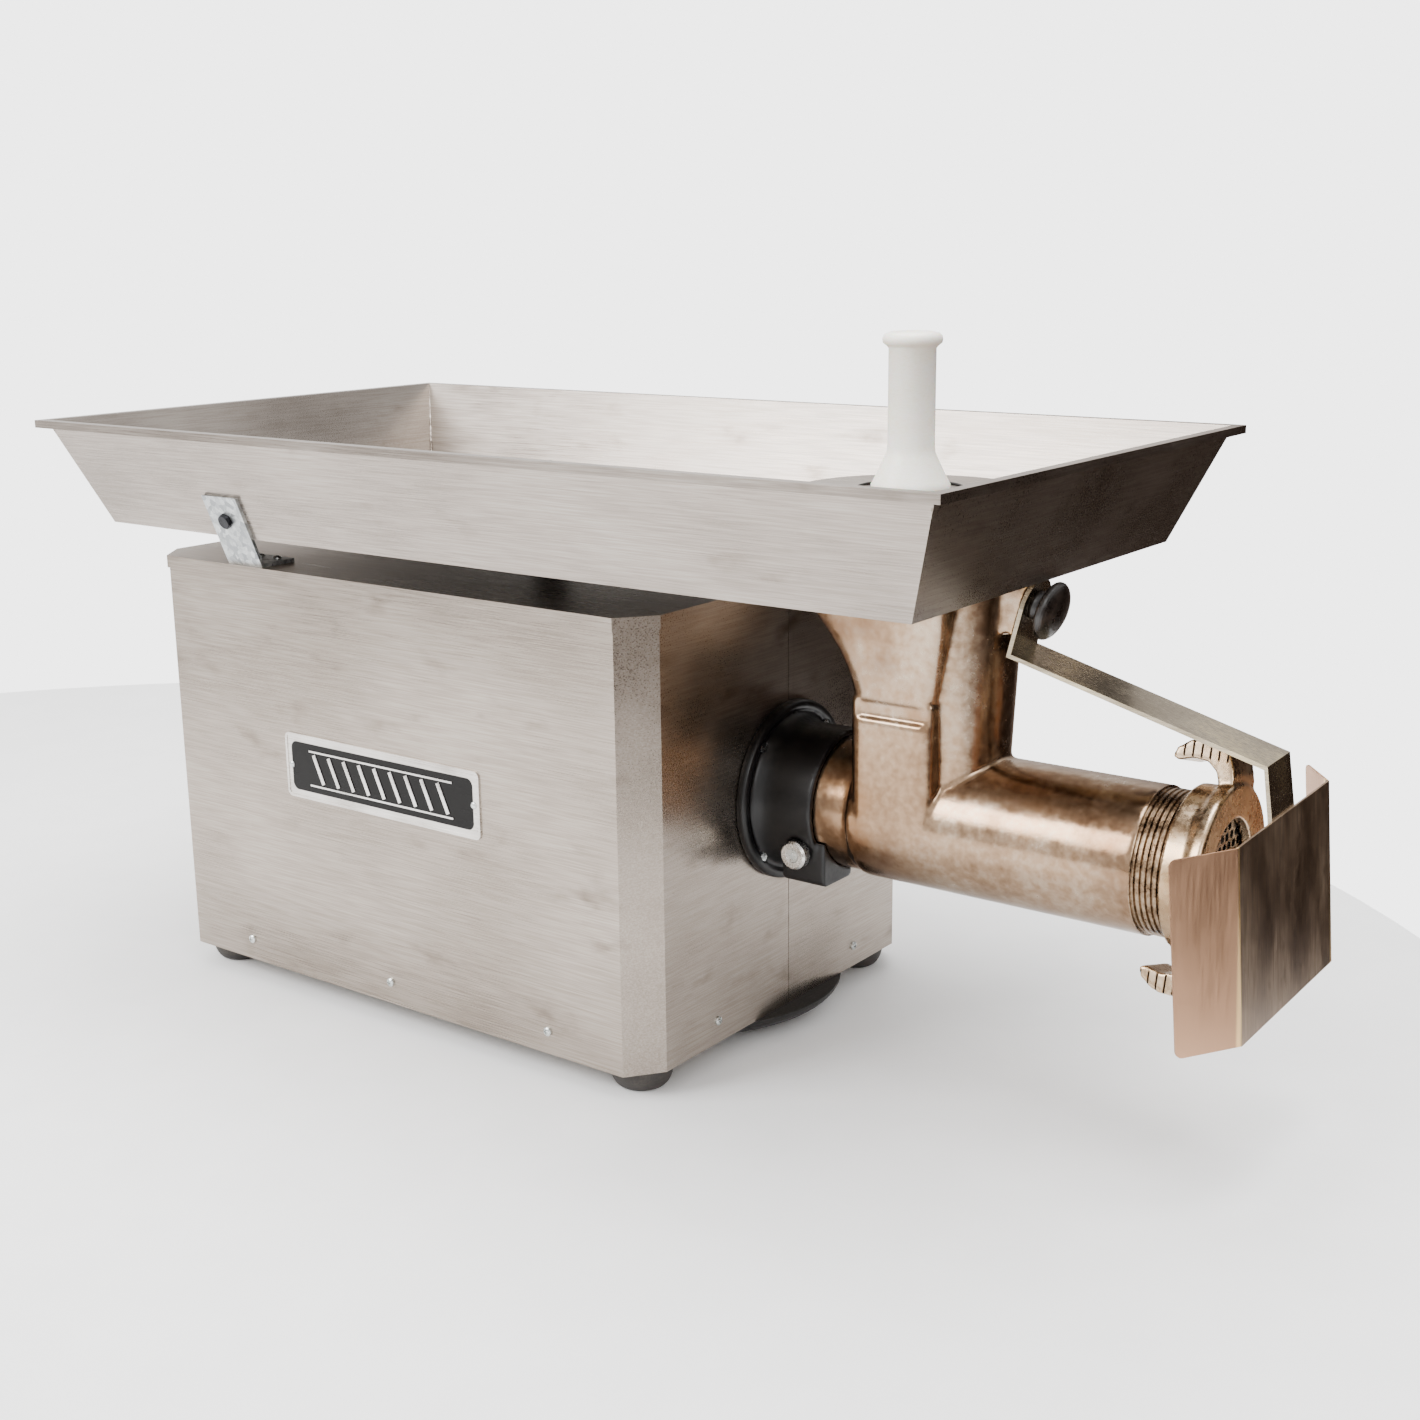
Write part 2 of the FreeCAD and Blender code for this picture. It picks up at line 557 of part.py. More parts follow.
def make_gearbox():
    """Cast housing, cover, bearings, seal and bolts."""
    y0, y1, z0, z1 = gearbox_bounds()
    wall = GEARBOX_WALL
    outer = box(GEARBOX_BACK, COVER_BACK, y0, y1, z0, z1)
    outer = outer.makeFillet(16, [e for e in outer.Edges if abs(e.Length - DRIVE_LENGTH) < 1e-6])
    inner = box(GEARBOX_BACK + wall, COVER_BACK + 1, y0 + wall, y1 - wall, z0 + wall, z1 - wall)
    inner = inner.makeFillet(9, [e for e in inner.Edges if abs(e.Length - DRIVE_LENGTH + wall - 1) < 1e-6])
    shell = outer.cut(inner)
    seat_end = GEARBOX_BACK + BEARING_WALL + BEARING_WIDTH + 2
    pads = [rod(COVER_BACK - 16, COVER_BACK, 8, y, z).common(outer) for y, z in cover_bolt_places()]
    pads += [rod(GEARBOX_BACK, seat_end, OUTPUT_SEAT + 7, 0, AXIS_Z),
             rod(GEARBOX_BACK, seat_end, COUNTER_SEAT + 7, COUNTER_Y, COUNTER_Z)]
    feet_x = [(GEARBOX_BACK + 6, GEARBOX_BACK + 34), (COVER_BACK - 34, COVER_BACK - 6)]
    floor = CASE_BOTTOM + PAN_THICKNESS
    for x0, x1 in feet_x:
        pads.append(box(x0, x1, y0 + 2, y0 + 12, floor, z0 + 14))
        pads.append(box(x0, x1, y1 - 12, y1 - 2, floor, z0 + 14))
        pads.append(box(x0, x1, y0 + 2, y0 + 34, floor, floor + FOOT_PAD))
        pads.append(box(x0, x1, y1 - 34, y1 - 2, floor, floor + FOOT_PAD))
    shell = joined([shell] + pads)
    tools = [rod(GEARBOX_BACK + BEARING_WALL, seat_end + 1, OUTPUT_SEAT, 0, AXIS_Z),
             rod(GEARBOX_BACK + BEARING_WALL, seat_end + 1, COUNTER_SEAT, COUNTER_Y, COUNTER_Z),
             rod(GEARBOX_BACK - 1, GEARBOX_BACK + wall + 1, ROTOR_SHAFT + 12, 0, ROTOR_Z)]
    tools += [rod(COVER_BACK - 14, COVER_BACK + 1, 3.1, y, z) for y, z in cover_bolt_places()]
    tools += [post(0, floor + 20, 4.2, x, y) for x, y in gearbox_foot_places()]
    tools += [rod(GEARBOX_BACK - 1, GEARBOX_BACK + wall + 1, 4.1, y, z) for y, z in motor_bolt_places()]
    save("gearbox_housing", cut_all(shell, tools))

    cover = box(COVER_BACK, COVER_FRONT, y0, y1, z0, z1)
    cover = cover.makeFillet(16, [e for e in cover.Edges if abs(e.Length - COVER_THICKNESS) < 1e-6])
    tools = [rod(COVER_BACK - 1, COVER_BACK + BEARING_WIDTH + 0.5, NOSE_SEAT, 0, AXIS_Z),
             rod(COVER_BACK - 1, COVER_FRONT + 1, OUTPUT_NOSE + 8, 0, AXIS_Z),
             rod(COVER_BACK - 1, COVER_BACK + BEARING_WIDTH + 0.5, COUNTER_SEAT, COUNTER_Y, COUNTER_Z)]
    tools += [rod(COVER_BACK - 1, COVER_FRONT + 1, 3.1, y, z) for y, z in cover_bolt_places()]
    tools += [rod(COVER_FRONT - 5, COVER_FRONT + 1, 6.5, y, z) for y, z in cover_bolt_places()]
    tools += [rod(COVER_FRONT - 3, COVER_FRONT + 1, 4.1, y, z) for y, z in flange_bolt_places()]
    save("gearbox_cover", cut_all(cover, tools))
    bolts = [joined([rod(COVER_FRONT - 4.8, COVER_FRONT - 0.3, 6.2, y, z),
                     rod(COVER_BACK - 12, COVER_FRONT - 4, 3.0, y, z)]) for y, z in cover_bolt_places()]
    bolts += [joined([rod(GEARBOX_BACK - 13, GEARBOX_BACK + GEARBOX_WALL + 1, 3.0, y, z),
                      rod(GEARBOX_BACK + GEARBOX_WALL, GEARBOX_BACK + GEARBOX_WALL + 5, 5.5, y, z)])
              for y, z in motor_bolt_places()]
    bolts += [rod(COVER_FRONT - 2.8, FRONT + 6.8, 4, y, z) for y, z in flange_bolt_places()]
    save("drive_bolts", Part.makeCompound(bolts))
    length = FOOT_PAD + PAN_THICKNESS - 0.5
    bolt = hex_bolt(13, 5.3, 4, length)
    bolts = [moved(bolt, vec(x, y, floor + FOOT_PAD), Z_AXIS)
             for x, y in gearbox_foot_places() + cradle_foot_places()]
    save("base_bolts", Part.makeCompound(bolts + foot_screws()))

    rear = GEARBOX_BACK + BEARING_WALL
    clear = SHAFT_CLEARANCE
    save("output_bearings", Part.makeCompound([
        bearing(rear, OUTPUT_SEAT, OUTPUT_SHAFT + clear, 0, AXIS_Z),
        bearing(COVER_BACK + 0.5, NOSE_SEAT, OUTPUT_NOSE + clear, 0, AXIS_Z)]))
    save("counter_bearings", Part.makeCompound([
        bearing(rear, COUNTER_SEAT, COUNTER_SHAFT + clear, COUNTER_Y, COUNTER_Z),
        bearing(COVER_BACK + 0.5, COUNTER_SEAT, COUNTER_SHAFT + clear, COUNTER_Y, COUNTER_Z)]))
    seal_back = COVER_BACK + BEARING_WIDTH + 0.6
    save("output_seal",
         ring(seal_back, COVER_FRONT - 0.3, OUTPUT_NOSE + 7.8, OUTPUT_NOSE + clear, 0, AXIS_Z))


def make_output_line():
    """Output spindle, its gear, the feed worm and the knife: everything that turns as one."""
    rear = GEARBOX_BACK + BEARING_WALL
    gear_x = slow_stage_x()
    worm_back = FRONT + CHAMBER_START + 1
    nose_end = worm_back + 20
    spindle = joined([rod(rear + 0.5, gear_x - 4, OUTPUT_SHAFT, 0, AXIS_Z),
                      rod(gear_x - 4, gear_x, OUTPUT_SHAFT + 6, 0, AXIS_Z),
                      rod(gear_x, nose_end - 20, OUTPUT_NOSE, 0, AXIS_Z)])
    drive = box(nose_end - 21, nose_end, -SQUARE_DRIVE / 2 - 2, SQUARE_DRIVE / 2 + 2,
                AXIS_Z - SQUARE_DRIVE / 2 - 2, AXIS_Z + SQUARE_DRIVE / 2 + 2)
    key = box(gear_x + 1, gear_x + FACE_SLOW - 1, -5, 5, AXIS_Z + OUTPUT_NOSE - 5, AXIS_Z + OUTPUT_NOSE + 3)
    save("output_spindle", joined([spindle, drive, key]))
    angle = mesh_angles(0, AXIS_Z, COUNTER_Y, COUNTER_Z)
    wheel = gear(GEAR_TEETH, MODULE_SLOW, FACE_SLOW, angle)
    wheel.translate(vec(gear_x, 0, AXIS_Z))
    rim = MODULE_SLOW * GEAR_TEETH / 2 - 12
    tools = [rod(gear_x - 1, gear_x + FACE_SLOW + 1, OUTPUT_NOSE, 0, AXIS_Z),
             ring(gear_x - 1, gear_x + 6, rim, OUTPUT_NOSE + 10, 0, AXIS_Z),
             ring(gear_x + FACE_SLOW - 6, gear_x + FACE_SLOW + 1, rim, OUTPUT_NOSE + 10, 0, AXIS_Z)]
    save("output_gear", cut_all(wheel, tools).cut(key))

    worm_end = FRONT + HEAD_END - PLATE_FACE + 4 - 12
    length = worm_end - worm_back
    core = Part.makeCone(WORM_CORE + 4, WORM_CORE, length, vec(worm_back, 0, AXIS_Z), X_AXIS)
    reach = BORE - 0.7
    turns = (length - WORM_FLIGHT - 8) / WORM_PITCH
    helix = Part.makeHelix(WORM_PITCH, turns * WORM_PITCH, reach)
    root = WORM_CORE - 4
    thick = WORM_FLIGHT / 2
    section = Part.makePolygon([vec(root, 0, -thick), vec(reach, 0, -thick + 1), vec(reach, 0, thick - 1),
                                vec(root, 0, thick), vec(root, 0, -thick)])
    flight = Part.Wire(helix).makePipeShell([section], True, True)
    flight.Placement = FreeCAD.Placement(vec(worm_back + WORM_FLIGHT / 2 + 4, 0, AXIS_Z),
                                         FreeCAD.Rotation(Z_AXIS, X_AXIS))
    socket = box(worm_back - 1, nose_end + 0.5, -SQUARE_DRIVE / 2 - 2, SQUARE_DRIVE / 2 + 2,
                 AXIS_Z - SQUARE_DRIVE / 2 - 2, AXIS_Z + SQUARE_DRIVE / 2 + 2)
    half = SQUARE_DRIVE / 2
    square = box(worm_end - 1, worm_end + 11, -half, half, AXIS_Z - half, AXIS_Z + half)
    pin = rod(worm_end - 1, FRONT + HEAD_END + 3, PLATE_BOSS / 2, 0, AXIS_Z)
    save("feed_worm", joined([core.fuse(flight), square, pin]).cut(socket))

    knife_x = worm_end + 0.5
    blade = joined([rod(knife_x, knife_x + 11, 15, 0, AXIS_Z)] +
                   [moved(box(0, 11, 0, reach - 1.5, -7, 4 - 0.4 * arm), vec(knife_x, 0, AXIS_Z), X_AXIS)
                    .rotate(vec(knife_x, 0, AXIS_Z), X_AXIS, 90 * arm) for arm in range(4)])
    hole = box(knife_x - 1, knife_x + 12, -half, half, AXIS_Z - half, AXIS_Z + half)
    save("cross_knife", blade.cut(hole))


def make_counter_line():
    """Countershaft with its large fast gear and small slow pinion."""
    rear = GEARBOX_BACK + BEARING_WALL
    shaft = rod(rear + 0.5, COVER_BACK + BEARING_WIDTH, COUNTER_SHAFT, COUNTER_Y, COUNTER_Z)
    pinion = gear(PINION_TEETH, MODULE_SLOW, FACE_SLOW + 2,
                  mesh_angles(COUNTER_Y, COUNTER_Z, 0, AXIS_Z) + 180 / PINION_TEETH)
    pinion.translate(vec(slow_stage_x() - 1, COUNTER_Y, COUNTER_Z))
    save("countershaft", joined([shaft, pinion]))
    wheel = gear(GEAR_TEETH, MODULE_FAST, FACE_FAST, mesh_angles(COUNTER_Y, COUNTER_Z, 0, ROTOR_Z))
    wheel.translate(vec(fast_stage_x(), COUNTER_Y, COUNTER_Z))
    tools = [rod(fast_stage_x() - 1, fast_stage_x() + FACE_FAST + 1, COUNTER_SHAFT, COUNTER_Y, COUNTER_Z)]
    for turn in range(6):
        angle = math.radians(60 * turn)
        tools.append(rod(fast_stage_x() - 1, fast_stage_x() + FACE_FAST + 1, 8,
                         COUNTER_Y + 30 * math.cos(angle), COUNTER_Z + 30 * math.sin(angle)))
    save("counter_gear", cut_all(wheel, tools))


# ---- motor ---------------------------------------------------------------------------------
def motor_bolt_places():
    """Bolts from the gearbox into the front bell, as (y, z)."""
    radius = MOTOR_RADIUS - 12
    return [(radius * math.cos(math.radians(a)), ROTOR_Z + radius * math.sin(math.radians(a)))
            for a in (150, 195, 340)]


def cradle_foot_places():
    """Bolts through the motor cradle's feet, as (x, y)."""
    middle = GEARBOX_BACK - BELL_LENGTH - STATOR_LENGTH / 2
    return [(middle + step * 45, side * (MOTOR_RADIUS - 14)) for step in (-1, 1) for side in (-1, 1)]


def make_motor():
    """Motor shell, bells, stator, rotor, fan, cradle and capacitor."""
    bell_front = GEARBOX_BACK - BELL_LENGTH
    shell_back = bell_front - STATOR_LENGTH
    bell_back = shell_back - BELL_LENGTH
    clear = SHAFT_CLEARANCE
    shell = ring(shell_back, bell_front, MOTOR_RADIUS, MOTOR_RADIUS - 4, 0, ROTOR_Z)
    fins = []
    for turn in range(24):
        angle = -105 + turn * 210 / 23
        fin = box(shell_back + 4, bell_front - 4, -1.2, 1.2, MOTOR_RADIUS - 1, MOTOR_RADIUS + 6)
        fin.rotate(vec(0, 0, 0), X_AXIS, angle)
        fin.translate(vec(0, 0, ROTOR_Z))
        fins.append(fin)
    save("motor_shell", joined([shell] + fins))
    bell = spun([(0, COUNTER_SEAT), (0, MOTOR_RADIUS - 1), (8, MOTOR_RADIUS - 1),
                 (BELL_LENGTH, MOTOR_RADIUS), (BELL_LENGTH, MOTOR_RADIUS - 6),
                 (12, MOTOR_RADIUS - 8), (8, COUNTER_SEAT + 10),
                 (BEARING_WIDTH + 1, COUNTER_SEAT + 6), (BEARING_WIDTH + 1, COUNTER_SEAT)])
    lip = spun([(-2, ROTOR_SHAFT + 3), (0, ROTOR_SHAFT + 3), (0, COUNTER_SEAT + 3), (-2, COUNTER_SEAT + 3)])
    front = moved(bell, vec(GEARBOX_BACK, 0, ROTOR_Z), X_AXIS * -1)
    front = front.cut(Part.makeCompound([rod(GEARBOX_BACK - 14, GEARBOX_BACK + 1, 3.1, y, z)
                                         for y, z in motor_bolt_places()]))
    save("motor_front_bell", front)
    rear = joined([moved(bell, vec(bell_back, 0, ROTOR_Z), X_AXIS),
                   moved(lip, vec(bell_back, 0, ROTOR_Z), X_AXIS)])
    save("motor_rear_bell", rear)
    save("motor_bearings", Part.makeCompound([
        bearing(GEARBOX_BACK - BEARING_WIDTH, COUNTER_SEAT, ROTOR_SHAFT + clear, 0, ROTOR_Z),
        bearing(bell_back, COUNTER_SEAT, ROTOR_SHAFT + clear, 0, ROTOR_Z)]))
    core_back = shell_back + 32
    core_front = bell_front - 32
    stator = ring(core_back, core_front, MOTOR_RADIUS - 4, ROTOR_RADIUS + AIR_GAP, 0, ROTOR_Z)
    save("stator_core", stator)
    coils = [ring(core_back - 22, core_back, MOTOR_RADIUS - 12, ROTOR_RADIUS + 5, 0, ROTOR_Z),
             ring(core_front, core_front + 22, MOTOR_RADIUS - 12, ROTOR_RADIUS + 5, 0, ROTOR_Z)]
    coils = [coil.makeFillet(7, [e for e in coil.Edges if len(e.Vertexes) == 1]) for coil in coils]
    save("stator_windings", Part.makeCompound(coils))
    core = rod(core_back, core_front, ROTOR_RADIUS, 0, ROTOR_Z)
    core = joined([core] + [ring(core_back - 8, core_back, ROTOR_RADIUS - 4, ROTOR_SHAFT, 0, ROTOR_Z),
                            ring(core_front, core_front + 8, ROTOR_RADIUS - 4, ROTOR_SHAFT, 0, ROTOR_Z)])
    save("rotor_core", core.cut(rod(core_back - 9, core_front + 9, ROTOR_SHAFT, 0, ROTOR_Z)))
    fan_front = bell_back - 6
    fan_back = fan_front - 20
    pinion_x = fast_stage_x() - 2
    shaft = rod(fan_back - 2, pinion_x, ROTOR_SHAFT, 0, ROTOR_Z)
    pinion = gear(PINION_TEETH, MODULE_FAST, FACE_FAST + 4,
                  mesh_angles(0, ROTOR_Z, COUNTER_Y, COUNTER_Z) + 180 / PINION_TEETH)
    pinion.translate(vec(pinion_x, 0, ROTOR_Z))
    save("rotor_shaft", joined([shaft, pinion]))
    hub = ring(fan_back, fan_front, ROTOR_SHAFT + 8, ROTOR_SHAFT, 0, ROTOR_Z)
    disc = ring(fan_front - 3, fan_front, FAN_RADIUS, ROTOR_SHAFT, 0, ROTOR_Z)
    blades = []
    for turn in range(8):
        blade = box(fan_back, fan_front - 2, -1.2, 1.2, ROTOR_SHAFT + 6, FAN_RADIUS)
        blade.rotate(vec(0, 0, 0), X_AXIS, 45 * turn)
        blade.translate(vec(0, 0, ROTOR_Z))
        blades.append(blade)
    save("cooling_fan", joined([hub, disc] + blades))
    cowl = ring(fan_back - 10, bell_back + 4, MOTOR_RADIUS + 1.6, MOTOR_RADIUS - 0.8, 0, ROTOR_Z)
    grille = ring(fan_back - 10, fan_back - 8, MOTOR_RADIUS, 12, 0, ROTOR_Z)
    slots = []
    for turn in range(12):
        slot = box(fan_back - 12, fan_back - 6, -4, 4, 22, MOTOR_RADIUS - 8)
        slot.rotate(vec(0, 0, 0), X_AXIS, 30 * turn)
        slot.translate(vec(0, 0, ROTOR_Z))
        slots.append(slot)
    save("fan_cowl", joined([cowl, cut_all(grille, slots)]))

    floor = CASE_BOTTOM + PAN_THICKNESS
    places = cradle_foot_places()
    x0 = min(x for x, y in places) - 14
    x1 = max(x for x, y in places) + 14
    y1 = MOTOR_RADIUS
    cradle = box(x0, x1, -y1, y1, floor, ROTOR_Z - 32)
    cradle = cradle.cut(box(x0 - 1, x1 + 1, -y1 + 26, y1 - 26, floor + 9, ROTOR_Z))
    cradle = cradle.cut(rod(x0 - 1, x1 + 1, MOTOR_RADIUS, 0, ROTOR_Z))
    cradle = cradle.cut(rod(x0 - 1, x1 + 1, MOTOR_RADIUS + 6.5, 0, ROTOR_Z).common(
        box(x0 - 1, x1 + 1, -y1 - 9, y1 + 9, ROTOR_Z - 42, ROTOR_Z)))
    tools = [post(floor + FOOT_PAD, floor + 60, 9, x, y) for x, y in places]
    tools += [post(0, floor + 20, 4.2, x, y) for x, y in places]
    save("motor_cradle", cut_all(cradle, tools))
    make_capacitor(floor)


def make_capacitor(floor):
    """Run capacitor strapped to the pan beside the motor."""
    y = -SIDE + 62
    x0 = GEARBOX_BACK - BELL_LENGTH - 60
    radius = 22.0
    z = floor + radius + 2
    can = rod(x0, x0 + 95, radius, y, z)
    can = can.makeFillet(3, [can.Edges[0], can.Edges[2]])
    tabs = [box(x0 - 9, x0 + 1, y + step - 0.8, y + step + 0.8, z - 3, z + 3) for step in (-8, 8)]
    save("capacitor", joined([can] + tabs))
    strap = ring(x0 + 38, x0 + 56, radius + 1.5, radius, y, z)
    foot = box(x0 + 38, x0 + 56, y - radius - 16, y + radius + 16, floor, floor + 1.5)
    save("capacitor_clip", joined([strap, foot.cut(rod(x0, x0 + 95, radius, y, z))]))


# ---- head flange and clamp -----------------------------------------------------------------
def make_flange():
    """Black cast flange with the neck that takes the head, its bolts and the clamp screw."""
    neck_end = COLLAR_START + 5
    rim_back = 0.0
    inner = COLLAR_RADIUS + 0.2
    profile = [(rim_back, inner - 14), (rim_back, FLANGE_RADIUS)]
    profile += arc((5, FLANGE_RADIUS - 3), (3, 3), 90, 0, 4)
    dish = FLANGE_RADIUS - FLANGE_RIM - 2
    profile += [(8, FLANGE_RADIUS - FLANGE_RIM)]
    profile += arc((24, dish), (18.5, dish - NECK_RADIUS + 1), 180, 270, 6)
    profile += [(neck_end, NECK_RADIUS - 1), (neck_end, inner), (8, inner), (8, inner - 14)]
    flange = moved(spun(profile), vec(FRONT, 0, AXIS_Z), X_AXIS)
    screw_x = FRONT + CLAMP_SETOUT
    screw_z = AXIS_Z - CLAMP_DROP
    ear = box(screw_x - 15, FRONT + neck_end + 8, -CLAMP_FACE + CLAMP_HEAD_LENGTH + 1, -8,
              screw_z - 24, screw_z + 13)
    ear = ear.makeFillet(5, [e for e in ear.Edges if abs(e.Vertexes[0].X - e.Vertexes[1].X) > 20])
    ear = ear.cut(rod(FRONT + 8, FRONT + 90, inner, 0, AXIS_Z))
    flange = joined([flange, ear])
    seat = -CLAMP_FACE + CLAMP_HEAD_LENGTH + 0.3
    tools = [Part.makeCylinder(5.1, 30, vec(screw_x, seat - 9, screw_z), Y_AXIS),
             Part.makeCylinder(CLAMP_HEAD + 1, 20, vec(screw_x, seat - 20, screw_z), Y_AXIS)]
    tools += [rod(FRONT - 1, FRONT + 7, 4.1, y, z) for y, z in flange_bolt_places()]
    flange = cut_all(flange, tools)
    save("head_flange", flange)

    face = CLAMP_FACE
    head = spun([(0, 5.2), (0, CLAMP_HEAD - 0.8), (0.8, CLAMP_HEAD), (CLAMP_HEAD_LENGTH - 1.6, CLAMP_HEAD),
                 (CLAMP_HEAD_LENGTH, CLAMP_HEAD - 1.6), (CLAMP_HEAD_LENGTH, 5.4),
                 (CLAMP_HEAD_LENGTH - 2.2, 3.2), (CLAMP_HEAD_LENGTH - 2.2, 0), (-5, 0), (-5, 5.0),
                 (0, 5.0)])
    at = vec(screw_x, -face + CLAMP_HEAD_LENGTH, screw_z)
    save("clamp_screw", moved(head, at, Y_AXIS * -1))
    plug = spun([(0, 0), (0, 3.0), (2.0, 4.9), (2.0, 0)])
    recess = [box(0.6, 3, -2.6, 2.6, -0.55, 0.55), box(0.6, 3, -0.55, 0.55, -2.6, 2.6)]
    at = vec(screw_x, -face + 2.2, screw_z)
    save("clamp_screw_plug", moved(cut_all(plug, recess), at, Y_AXIS * -1))


# ---- grinder head --------------------------------------------------------------------------
def throat_section(x0, x1, half, radius, z):
    """Closed wire of a rounded rectangle in a level plane."""
    plate = box(x0, x1, -half, half, z, z + 1)
    upright = [e for e in plate.Edges if abs(e.Vertexes[0].Z - e.Vertexes[1].Z) > 0.5]
    plate = plate.makeFillet(radius, upright)
    face = min(plate.Faces, key=lambda item: item.CenterOfMass.z)
    return face.OuterWire


def throat_solid(inset, bottom, top):
    """Flaring feed throat, set in by a wall thickness, lofted through level sections."""
    back = FRONT + BLOCK_START
    front = FRONT + BLOCK_END
    sections = []
    for step in range(6):
        share = step / 5
        z = bottom + (top - bottom) * share
        flare = THROAT_BACK_FLARE * share ** 1.7
        sections.append(throat_section(back - flare + inset, front + 14 * share - inset + inset * 0.2,
                                       BLOCK_HALF + 8 * share ** 2 - inset, 13 - inset * 0.6, z))
    return Part.makeLoft(sections, True, False)


def tube_solid(inset, bottom, top):
    """Round front of the throat, a cone that leans forward to the tray."""
    middle = FRONT + THROAT_FRONT - TUBE_RADIUS
    lean = vec(THROAT_LEAN - TUBE_FLARE, 0, TRAY_FLOOR - AXIS_Z)
    length = lean.Length + 20
    cone = Part.makeCone(TUBE_RADIUS - inset, TUBE_RADIUS - inset + TUBE_FLARE, length,
                         vec(middle, 0, AXIS_Z - 10), lean)
    return cone.common(box(middle - 99, middle + 99, -99, 99, bottom, top))


def make_head():
    """Bronze head casting, perforated plate and its locating pin."""
    back = FRONT + BLOCK_START
    end = FRONT + HEAD_END
    thread_x = FRONT + THREAD_START
    top = TRAY_FLOOR
    waist = AXIS_Z + STEP_RISE + STEP_HEIGHT
    body = [rod(back, thread_x, BARREL_RADIUS, 0, AXIS_Z),
            rod(thread_x, end, THREAD_RADIUS, 0, AXIS_Z),
            rod(FRONT + COLLAR_START + 0.5 - 42, back, COLLAR_RADIUS, 0, AXIS_Z),
            prism_block(back, FRONT + BLOCK_END, waist),
            throat_solid(THROAT_SINK, waist - 5, top),
            tube_solid(0, AXIS_Z, top)]
    boss_at = KNOB_CENTRE + KNOB_AXIS * boss_face()
    boss = box(-30, 0, -17, 17, -22, 20)
    body.append(moved(boss, boss_at, KNOB_AXIS).cut(box(-999, 999, -500, 500, TRAY_FLOOR - 4, 9999)))
    whole = joined(body)
    step_z = AXIS_Z + STEP_RISE
    tools = [rod(FRONT + CHAMBER_START, end + 1, BORE, 0, AXIS_Z),
             rod(FRONT, FRONT + CHAMBER_START + 1, OUTPUT_NOSE + SHAFT_CLEARANCE, 0, AXIS_Z),
             throat_solid(THROAT_WALL, waist - 5, top + 1),
             tube_solid(THROAT_WALL, AXIS_Z + 10, top + 1),
             box(FRONT + CHAMBER_START + 10, FRONT + BLOCK_END - 4, -BLOCK_HALF + 14, BLOCK_HALF - 14,
                 AXIS_Z + 10, waist + 8)]
    for side in (-1, 1):
        inner = side * (BLOCK_HALF - STEP_DEPTH)
        outer = side * (BLOCK_HALF + 5)
        tools.append(box(back + 7, FRONT + BLOCK_END + 5, min(inner, outer), max(inner, outer),
                         step_z, step_z + STEP_HEIGHT))
    for groove in range(int((end - thread_x) / THREAD_PITCH)):
        x = thread_x + 1.5 + groove * THREAD_PITCH
        cutter = spun([(x, THREAD_RADIUS + 1), (x + 1.2, THREAD_RADIUS - THREAD_DEPTH),
                       (x + 1.8, THREAD_RADIUS - THREAD_DEPTH), (x + 3.0, THREAD_RADIUS + 1)])
        tools.append(moved(cutter, vec(0, 0, AXIS_Z), X_AXIS))
    tools.append(moved(rod(-24, 1, 5.1, 0, 0), boss_at, KNOB_AXIS))
    pin_z = AXIS_Z - BORE - 1.0
    tools.append(rod(end - 6.4, end + 1, 3.1, 0, pin_z))
    save("grinder_head", cut_all(whole, tools))
    save("plate_pin", rod(end - 6.2, end + 2, 3.0, 0, pin_z))
    make_plate(end, pin_z)


def prism_block(x0, x1, top):
    """Boxy rear half of the head with softly rounded upright edges."""
    block = box(x0, x1, -BLOCK_HALF, BLOCK_HALF, AXIS_Z, top)
    upright = [e for e in block.Edges if abs(e.Vertexes[0].Z - e.Vertexes[1].Z) > 1]
    return block.makeFillet(11, upright)


def make_plate(end, pin_z):
    """Perforated plate that sits in the mouth of the barrel."""
    x0 = end - PLATE_FACE + 4
    plate = rod(x0, x0 + PLATE_FACE, PLATE_82 / 2, 0, AXIS_Z)
    holes = [rod(x0 - 1, x0 + PLATE_FACE + 1, PLATE_BOSS / 2 + 0.08, 0, AXIS_Z),
             rod(x0 - 1, x0 + PLATE_FACE + 1, 3.3, 0, pin_z)]
    limit = PLATE_82 / 2 - PLATE_HOLE / 2 - 2.5
    rows = int(limit / PLATE_HOLE_PITCH) + 1
    for row in range(-rows, rows + 1):
        for column in range(-rows - 1, rows + 2):
            y = (column + 0.5 * (row % 2)) * PLATE_HOLE_PITCH
            z = row * PLATE_HOLE_PITCH * math.sqrt(3) / 2
            distance = math.hypot(y, z)
            clears_pin = math.hypot(y, z - pin_z + AXIS_Z) > PLATE_HOLE / 2 + 5
            if PLATE_BOSS / 2 + PLATE_HOLE / 2 + 1.5 < distance < limit and clears_pin:
                holes.append(rod(x0 - 1, x0 + PLATE_FACE + 1, PLATE_HOLE / 2, y, AXIS_Z + z))
    save("perforated_plate", cut_all(plate, holes))


